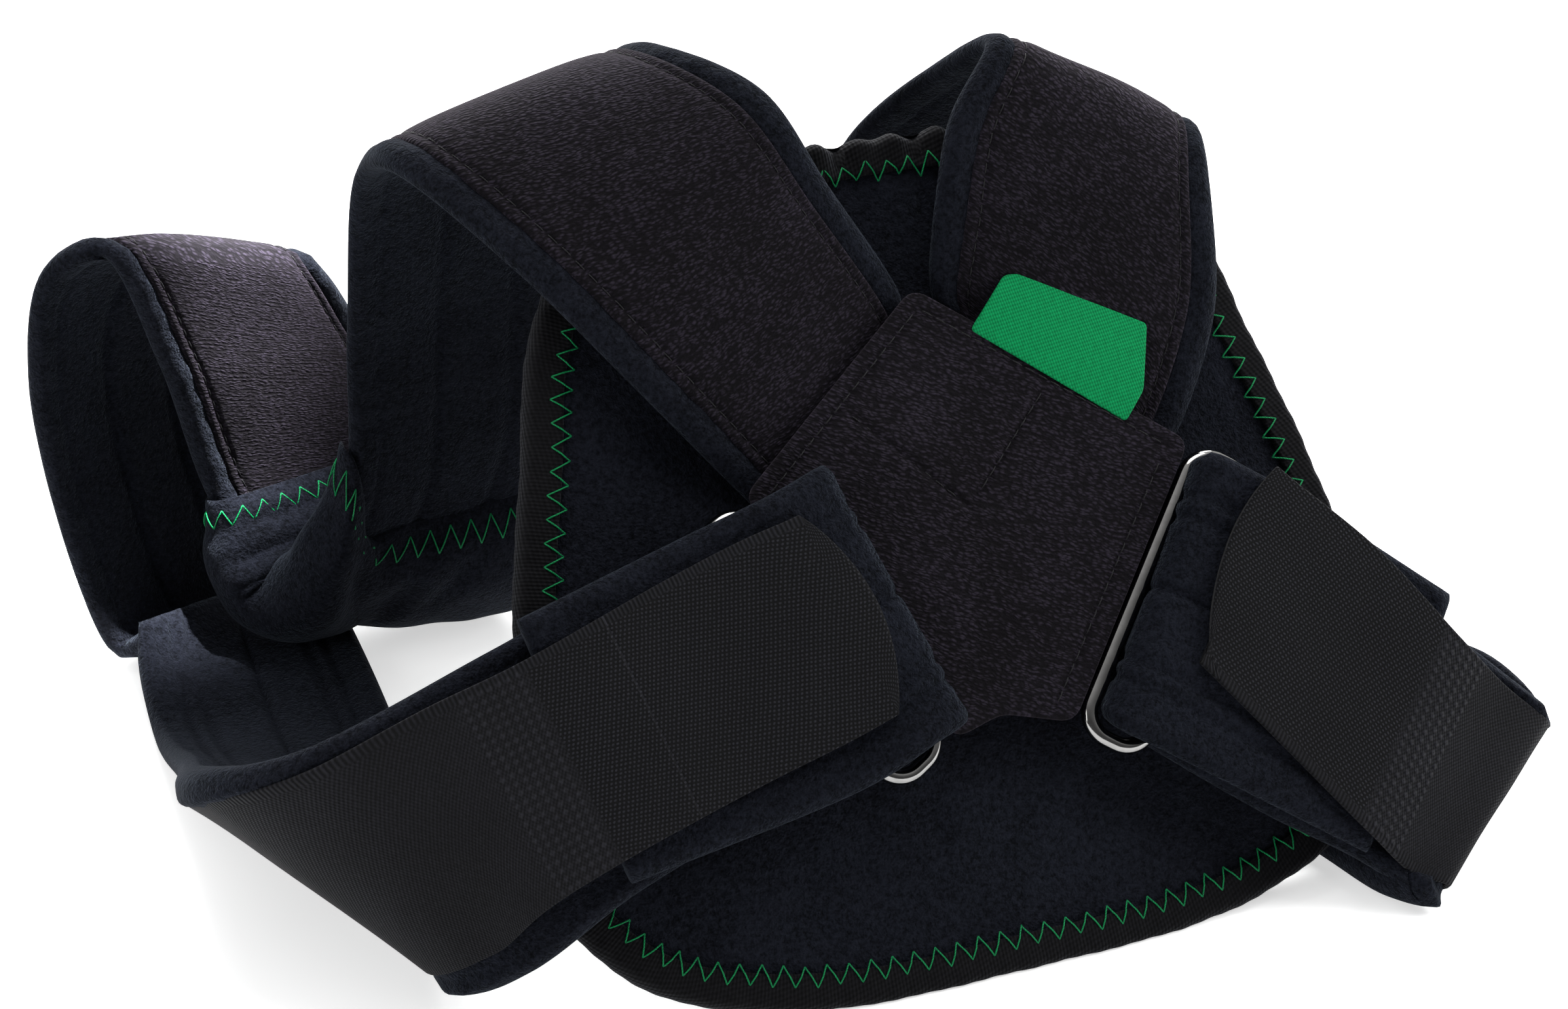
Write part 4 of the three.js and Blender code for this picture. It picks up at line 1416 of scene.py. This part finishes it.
class BRACE_OT_label(bpy.types.Operator):
    """Builds the bare green tab that is caught in the panel's edge"""

    bl_idname = "brace.label"
    bl_label = "Green tab"

    def execute(self, context):
        corners = [(c["across"], c["up"]) for c in LABEL_CORNERS]
        loop = rounded_corners(corners, 1.0, 6)
        middle = loop.mean(axis=0)
        shares = np.concatenate([np.linspace(0.03, 0.92, 20), [0.96, 0.985]])
        foot, top = np.array(corners[0]), np.array(corners[-1])
        along = unit(top - foot)
        rise = np.array([-along[1], along[0]])

        def level(flat):
            up = (flat - foot) @ rise
            side = (flat - foot) @ along
            return LABEL_LEVEL + 1.6 * (1 - np.exp(-up / 7)) + 0.05 * up + 0.4 * np.sin(side / 39.0 * math.pi)

        def place(flat, side, share):
            return lifted(flat, level(flat) + side * 0.42)

        def rim(loop):
            return [lifted(loop, level(loop) + lift) for lift in (0.3, 0.0, -0.3)]

        piece = shield_piece("label_tab_satin", loop, middle, place, shares, rim, "green_satin")
        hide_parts("label_tab")
        area = area_of(loop) * MM * MM
        return {"FINISHED"}


# Rings


class BRACE_OT_rings(bpy.types.Operator):
    """Builds the two wire rings"""

    bl_idname = "brace.rings"
    bl_label = "Wire rings"

    def execute(self, context):
        long, short, wire, corner = 70.0, 18.0, 3.6, 6.0
        for name, at in (("left_ring", LEFT_RING), ("right_ring", RIGHT_RING)):
            path = self.path((long - wire) / 2, (short - wire) / 2, corner)
            side = loop_sides(path)
            angle = np.linspace(0, 2 * math.pi, 28, endpoint=False)
            flat = path[:, None] + side[:, None] * (wire / 2 * np.cos(angle))[None, :, None]
            x, y = at["along"]
            across = at["across"] + x * flat[..., 0] - y * flat[..., 1]
            up = at["up"] + y * flat[..., 0] + x * flat[..., 1]
            points = on_back(across, up, RING_LEVEL + wire / 2 * np.sin(angle)[None, :])
            girth = np.broadcast_to(angle * wire / 2, flat.shape[:2])
            run = run_along(path)
            piece = grid_piece(name + "_wire", points, run, girth, "metal", loop=True)
            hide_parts(name)
        return {"FINISHED"}

    def path(self, half_long, half_short, corner):
        """A rounded rectangle as closely spaced places."""
        out = []
        for sx, sy, start in ((1, 1, 0), (-1, 1, 1), (-1, -1, 2), (1, -1, 3)):
            for a in np.linspace(0, math.pi / 2, 14) + start * math.pi / 2:
                x = sx * (half_long - corner) + corner * math.cos(a)
                y = sy * (half_short - corner) + corner * math.sin(a)
                out.append((x, y))
        return np.array(out)


# Armpit pads

SLEEVE_STEP = 1.5


def stadium(count, half_width, half_thick):
    """A flat oval as places across and lift, starting at the middle of the outer face."""
    straight = 2 * (half_width - half_thick)
    round_length = math.pi * half_thick
    total = 2 * (straight + round_length)
    s = np.linspace(0, total, count, endpoint=False)
    x = np.zeros(count)
    y = np.zeros(count)
    for k, d in enumerate(s):
        d = (d + straight / 2) % total
        if d < straight:
            x[k], y[k] = d - straight / 2, half_thick
        elif d < straight + round_length:
            a = math.pi / 2 - (d - straight) / half_thick
            x[k], y[k] = straight / 2 + half_thick * math.cos(a), half_thick * math.sin(a)
        elif d < 2 * straight + round_length:
            x[k], y[k] = straight / 2 - (d - straight - round_length), -half_thick
        else:
            a = -math.pi / 2 - (d - 2 * straight - round_length) / half_thick
            x[k], y[k] = -straight / 2 + half_thick * math.cos(a), half_thick * math.sin(a)
    return x, y


class BRACE_OT_armpit_pads(bpy.types.Operator):
    """Builds the padded sleeves round the straps, puffs them up and sews their rims"""

    bl_idname = "brace.armpit_pads"
    bl_label = "Armpit pads"

    def execute(self, context):
        size = straps_now()
        wall = context.scene.brace_pads.sleeve_wall / MM
        for name, sheet, rows, seed in (
            ("left_armpit_pad", LEFT, LEFT_SLEEVE_ROWS, 81),
            ("right_armpit_pad", RIGHT, RIGHT_SLEEVE_ROWS, 82),
        ):
            outer, inner, (last, first) = self.sleeve(sheet, rows, size, wall)
            points = np.concatenate([outer, last, inner[::-1], first[::-1]])
            along = np.arange(len(points)) * SLEEVE_STEP
            girth = girth_of(points)
            piece = grid_piece(name + "_velour", points, along, girth, "velour", loop=True)
            held = np.ones(points.shape[:2])
            held[1:len(outer) - 1] = 0.0
            held[1] = held[len(outer) - 2] = 0.5
            moved = puff(context.scene, piece, held.reshape(-1), pressure=4.0, growth=0.05, cap=4.0)
            outer = moved.reshape(points.shape)[:len(outer)]
            outer = settle(self.pleated(softened(outer, 5), seed))
            set_places(piece, np.concatenate([outer, points[len(outer):]]))
            rounded(piece, 1)
            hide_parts(name)
            self.sew(context, name, outer)
        return {"FINISHED"}

    def sleeve(self, sheet, rows, size, wall):
        """Outer and inner faces of a sleeve and the rounded rims between them, as rows of places."""
        u = sheet.rows_every(rows[0], rows[1], SLEEVE_STEP)
        share = (np.arange(len(u)) / (len(u) - 1))[:, None]
        count = 112
        middle = 1.4
        half_thick = size["thick"] / 2 + 1.6
        half_width = STRAP_WIDTH / 2 + 1.2
        inner_x, inner_y = stadium(count, half_width, half_thick)
        outer_x, outer_y = stadium(count, half_width + wall * 0.9, half_thick + wall)
        belly = np.sin(math.pi * share) ** 0.8
        under = np.clip(-outer_y / (half_thick + wall), 0, 1)[None, :]
        lapped = 1.3 / (1 + np.exp((outer_x[None, :] + 14) / 0.8))
        sagging = 4.2 * np.sin(math.pi * share) ** 0.3 / (1 + np.exp(-(outer_x[None, :] + 10) / 3))
        swell = (4.6 * belly + lapped + sagging) * under
        full = 0.2 + 0.8 * np.sin(math.pi * share) ** 0.5
        outer_x = inner_x + (outer_x - inner_x) * full
        outer_y = inner_y + (outer_y - inner_y) * full
        inner_x, inner_y = inner_x + 0 * share, inner_y + 0 * share

        def faces(x, y, extra, puffed=0.0):
            near = np.clip((-x - 18) / 14, 0, 1)
            v = 0.5 + (x - puffed * 5.5 * belly * near) / STRAP_WIDTH
            early = 0.62 * bell(np.maximum(v + 0.02, 0), 0.085) * (1 - share) ** 2
            at = u[:, None] - early
            crown = crown_at(at, np.clip(v, 0, 1), size["crown"])
            return sheet.place(at, v, y + middle + extra + crown)

        outer = settle(softened(faces(outer_x, outer_y, -swell, 1.0), 18))
        inner = settle(faces(inner_x, inner_y, 0 * share), 0.6)
        bulge = np.array([0.3, 0.7])[:, None, None]
        round_off = np.sin(math.pi * bulge) * wall * 0.4
        ends = []
        for edge, beside, core in ((outer[-1], outer[-2], inner[-1]), (outer[0], outer[1], inner[0])):
            way = unit(edge - beside)
            ends.append(settle(edge * (1 - bulge) + core * bulge + way * round_off))
        return outer, inner, ends

    def pleated(self, outer, seed):
        """Soft pleats across the hollow side of the bend and shallow dents all over."""
        rows, columns = outer.shape[:2]
        share = np.linspace(0, 1, rows)[:, None]
        turn = np.arange(columns)[None, :] * (2 * math.pi / columns)
        hollow = np.clip(np.cos(turn) * 1.6, 0, 1)
        rolls = np.abs(np.sin(share * (math.pi * 7) + 0.9 * np.sin(turn + seed))) ** 0.7
        belly = np.sin(math.pi * share) ** 0.4
        lift = 3.0 * (rolls - 0.6) * hollow * belly + 0.35 * ripple(outer, 17.0, seed) * belly
        along = np.gradient(outer, axis=0)
        around = np.roll(outer, -1, axis=1) - np.roll(outer, 1, axis=1)
        out = unit(np.cross(along, around))
        away = outer - outer.mean(axis=1, keepdims=True)
        out *= np.sign((out * away).sum())
        return outer + out * lift[..., None]

    def sew(self, context, name, outer):
        """Green zigzag round both rims of a sleeve."""
        thread = context.scene.brace_threads
        radius = thread.thread / MM / 2
        arch = np.array([-0.4, 0.3, 0.6, 0.7, 0.6, 0.3, -0.4]) * radius * 2
        paths, normals = [], []
        for rows in (outer, outer[::-1]):
            edge, deep = (np.vstack([x, x[:1]]) for x in (rows[1], rows[4]))
            run = run_along(edge)
            at, way, _ = zigzag_legs(run[-1], thread.zigzag_pitch / MM)
            mix = (0.5 + way * (LEG_STEPS - 0.5))[..., None]
            near, far = at_lengths(at, run, edge), at_lengths(at, run, deep)
            ahead = at_lengths((at + 0.5) % run[-1], run, edge)
            n = unit(np.cross(ahead - near, far - near))
            outside = np.sign(np.einsum("ijk,ijk->ij", n, near - edge[:-1].mean(axis=0)))[..., None]
            n = n * np.where(outside == 0, 1, outside)
            paths.append(near * (1 - mix) + far * mix + n * (arch + radius * 0.4)[None, :, None])
            normals.append(n)
        paths, normals = settle(np.concatenate(paths)), np.concatenate(normals)
        threads(name + "_zigzag", paths, normals, radius, "green_thread", 6)


def mesh_places(mesh):
    """The places of a mesh's vertices, in metres."""
    places = np.empty(len(mesh.vertices) * 3)
    mesh.vertices.foreach_get("co", places)
    return places.reshape(-1, 3)


def puff(scene, piece, held, pressure, growth, cap):
    """Blows a closed cloth up from inside for a moment. Gives its places in the tables' millimetres."""
    before = mesh_places(piece.data)
    group = piece.vertex_groups.new(name="held")
    for weight in np.unique(held):
        group.add(np.flatnonzero(held == weight).tolist(), float(weight), "REPLACE")
    cloth = piece.modifiers.new("puff", "CLOTH")
    settings = cloth.settings
    settings.quality = 6
    settings.mass = 0.2
    settings.bending_stiffness = 0.3
    settings.use_pressure = True
    settings.uniform_pressure_force = pressure
    settings.shrink_min = -growth
    settings.vertex_group_mass = group.name
    settings.effector_weights.gravity = 0.0
    frames = 20
    cloth.point_cache.frame_end = frames
    for number in range(1, frames + 1):
        scene.frame_set(number)
    shaped = piece.evaluated_get(bpy.context.evaluated_depsgraph_get())
    move = mesh_places(shaped.data) - before
    piece.modifiers.remove(cloth)
    piece.vertex_groups.remove(group)
    scene.frame_set(1)
    length = np.linalg.norm(move, axis=1, keepdims=True)
    move *= np.minimum(1.0, cap * MM / np.maximum(length, 1e-9))
    return settle((before + move) / MM - SHIFT)


def softened(rows, times):
    """Evens out rows of places that close on themselves. The first and last row stay."""
    for _ in range(times):
        around = (np.roll(rows, 1, axis=1) + np.roll(rows, -1, axis=1)) / 2
        along = rows.copy()
        along[1:-1] = (rows[2:] + rows[:-2]) / 2
        even = rows * 0.4 + around * 0.25 + along * 0.35
        even[0], even[-1] = rows[0], rows[-1]
        rows = even
    return rows


def set_places(piece, places):
    """Moves a piece's vertices to places in the tables' millimetres."""
    piece.data.vertices.foreach_set("co", ((places.reshape(-1, 3) + SHIFT) * MM).reshape(-1))
    piece.data.update()


def rounded(piece, levels):
    """Subdivides a piece smoothly for good."""
    smooth = piece.modifiers.new("smooth", "SUBSURF")
    smooth.levels = smooth.render_levels = levels
    shaped = piece.evaluated_get(bpy.context.evaluated_depsgraph_get())
    mesh = bpy.data.meshes.new_from_object(shaped)
    mesh.name = piece.name
    piece.modifiers.remove(smooth)
    piece.data = mesh


# Stage


class BRACE_OT_stage(bpy.types.Operator):
    """Makes the floor, the lights and the camera"""

    bl_idname = "brace.stage"
    bl_label = "Stage"

    def execute(self, context):
        scene = context.scene
        settings = scene.brace_stage
        mesh = bpy.data.meshes.new("floor")
        far = 6.0
        mesh.from_pydata([(-far, -far, 0), (far, -far, 0), (far, far, 0), (-far, far, 0)], [], [(0, 1, 2, 3)])
        s = Shader("floor_white")
        grain = s.noise(s.place(), 30.0, 1.0)
        white = s.mix(grain, (0.90, 0.90, 0.90), (0.93, 0.93, 0.93))
        paint = s.set(Base_Color=white, Roughness=0.9, Emission_Color=white, Emission_Strength=0.6)
        mesh.materials.append(paint)
        floor = bpy.data.objects.new("floor", mesh)
        scene.collection.objects.link(floor)
        scene.world = self.room(settings)
        for row in LIGHTS:
            self.softbox(scene, settings, row)
        self.accent(scene, settings)
        scene.view_settings.view_transform = "Standard"
        scene.view_settings.look = "None"
        self.camera(scene, settings)
        return {"FINISHED"}

    def room(self, settings):
        """A studio room: white behind and above, dim in front."""
        world = bpy.data.worlds.new("studio_room")
        world.use_nodes = True
        tree = world.node_tree
        background = tree.nodes["Background"]
        background.inputs["Color"].default_value = (1.0, 1.0, 1.0, 1.0)
        way = tree.nodes.new("ShaderNodeTexCoord")
        toward = tree.nodes.new("ShaderNodeVectorMath")
        toward.operation = "DOT_PRODUCT"
        behind_and_up = (0.0, 0.72, 0.69)
        toward.inputs[1].default_value = behind_and_up
        strength = tree.nodes.new("ShaderNodeMapRange")
        strength.interpolation_type = "SMOOTHSTEP"
        ends = {1: -0.35, 2: 0.85, 3: settings.round_light * 0.26, 4: settings.round_light * 2}
        for key, value in ends.items():
            strength.inputs[key].default_value = value
        tree.links.new(way.outputs["Generated"], toward.inputs[0])
        tree.links.new(toward.outputs["Value"], strength.inputs[0])
        tree.links.new(strength.outputs[0], background.inputs["Strength"])
        return world

    def softbox(self, scene, settings, row):
        """A round soft light."""
        light = bpy.data.lights.new(row["name"], "AREA")
        light.shape = "DISK"
        light.size = row["size"]
        light.energy = getattr(settings, row["power"]) * row["share"]
        self.hang(scene, light, row["at"], LIGHT_TARGET)

    def accent(self, scene, settings):
        """A narrow light on the far arch."""
        light = bpy.data.lights.new("accent_light", "SPOT")
        light.energy = settings.accent_light
        light.spot_size = math.radians(ACCENT["degrees"])
        light.spot_blend = 1.0
        light.shadow_soft_size = ACCENT["size"]
        self.hang(scene, light, ACCENT["at"], ACCENT["target"])

    def hang(self, scene, light, place, target):
        """Puts a light at its place, turned to its target."""
        lamp = bpy.data.objects.new(light.name, light)
        lamp.location = place
        lamp.rotation_euler = (Vector(target) - Vector(place)).to_track_quat("-Z", "Y").to_euler()
        scene.collection.objects.link(lamp)

    def camera(self, scene, settings):
        """The camera stands where the photograph was taken, found from the back's foot."""
        camera = bpy.data.cameras.new("camera")
        camera.sensor_width = 36.0
        camera.lens = settings.focal
        camera.clip_end = 50.0
        eye = bpy.data.objects.new("camera", camera)
        place = np.array(CAMERA_PLACE) + np.array([0.0, 0.0, BACK_FOOT]) + SHIFT
        eye.location = Vector(place * MM)
        eye.rotation_euler = (math.pi / 2 - settings.elevation, 0.0, 0.0)
        scene.collection.objects.link(eye)
        scene.camera = eye


class BRACE_PT_pieces(bpy.types.Panel):
    """Lists the brace's pieces"""

    bl_idname = "BRACE_PT_pieces"
    bl_label = "Clavicle brace"
    bl_space_type = "VIEW_3D"
    bl_region_type = "UI"
    bl_category = "Brace"

    def draw(self, context):
        for step in STEPS:
            self.layout.operator(step.bl_idname)
        for group in GROUPS:
            settings = getattr(context.scene, group)
            for key in settings.__annotations__:
                self.layout.prop(settings, key)


GROUPS = {
    "brace_straps": BraceStraps,
    "brace_pads": BracePads,
    "brace_threads": BraceThreads,
    "brace_colours": BraceColours,
    "brace_stage": BraceStage,
}
STEPS = (
    BRACE_OT_stage,
    BRACE_OT_back_pad,
    BRACE_OT_binding,
    BRACE_OT_panel,
    BRACE_OT_rings,
    BRACE_OT_shoulder_straps,
    BRACE_OT_shoulder_covers,
    BRACE_OT_end_straps,
    BRACE_OT_hook_strips,
    BRACE_OT_armpit_pads,
    BRACE_OT_label,
)


def register():
    for group in GROUPS.values():
        bpy.utils.register_class(group)
    for step in STEPS:
        bpy.utils.register_class(step)
    bpy.utils.register_class(BRACE_PT_pieces)
    for name, group in GROUPS.items():
        setattr(bpy.types.Scene, name, PointerProperty(type=group))


def unregister():
    for name in GROUPS:
        delattr(bpy.types.Scene, name)
    bpy.utils.unregister_class(BRACE_PT_pieces)
    for step in reversed(STEPS):
        bpy.utils.unregister_class(step)
    for group in reversed(GROUPS.values()):
        bpy.utils.unregister_class(group)


def main():
    register()
    bpy.ops.brace.stage()
    bpy.ops.brace.back_pad()
    bpy.ops.brace.binding()
    bpy.ops.brace.panel()
    bpy.ops.brace.rings()
    bpy.ops.brace.shoulder_straps()
    bpy.ops.brace.shoulder_covers()
    bpy.ops.brace.end_straps()
    bpy.ops.brace.hook_strips()
    bpy.ops.brace.armpit_pads()
    bpy.ops.brace.label()


if __name__ == "__main__":
    main()
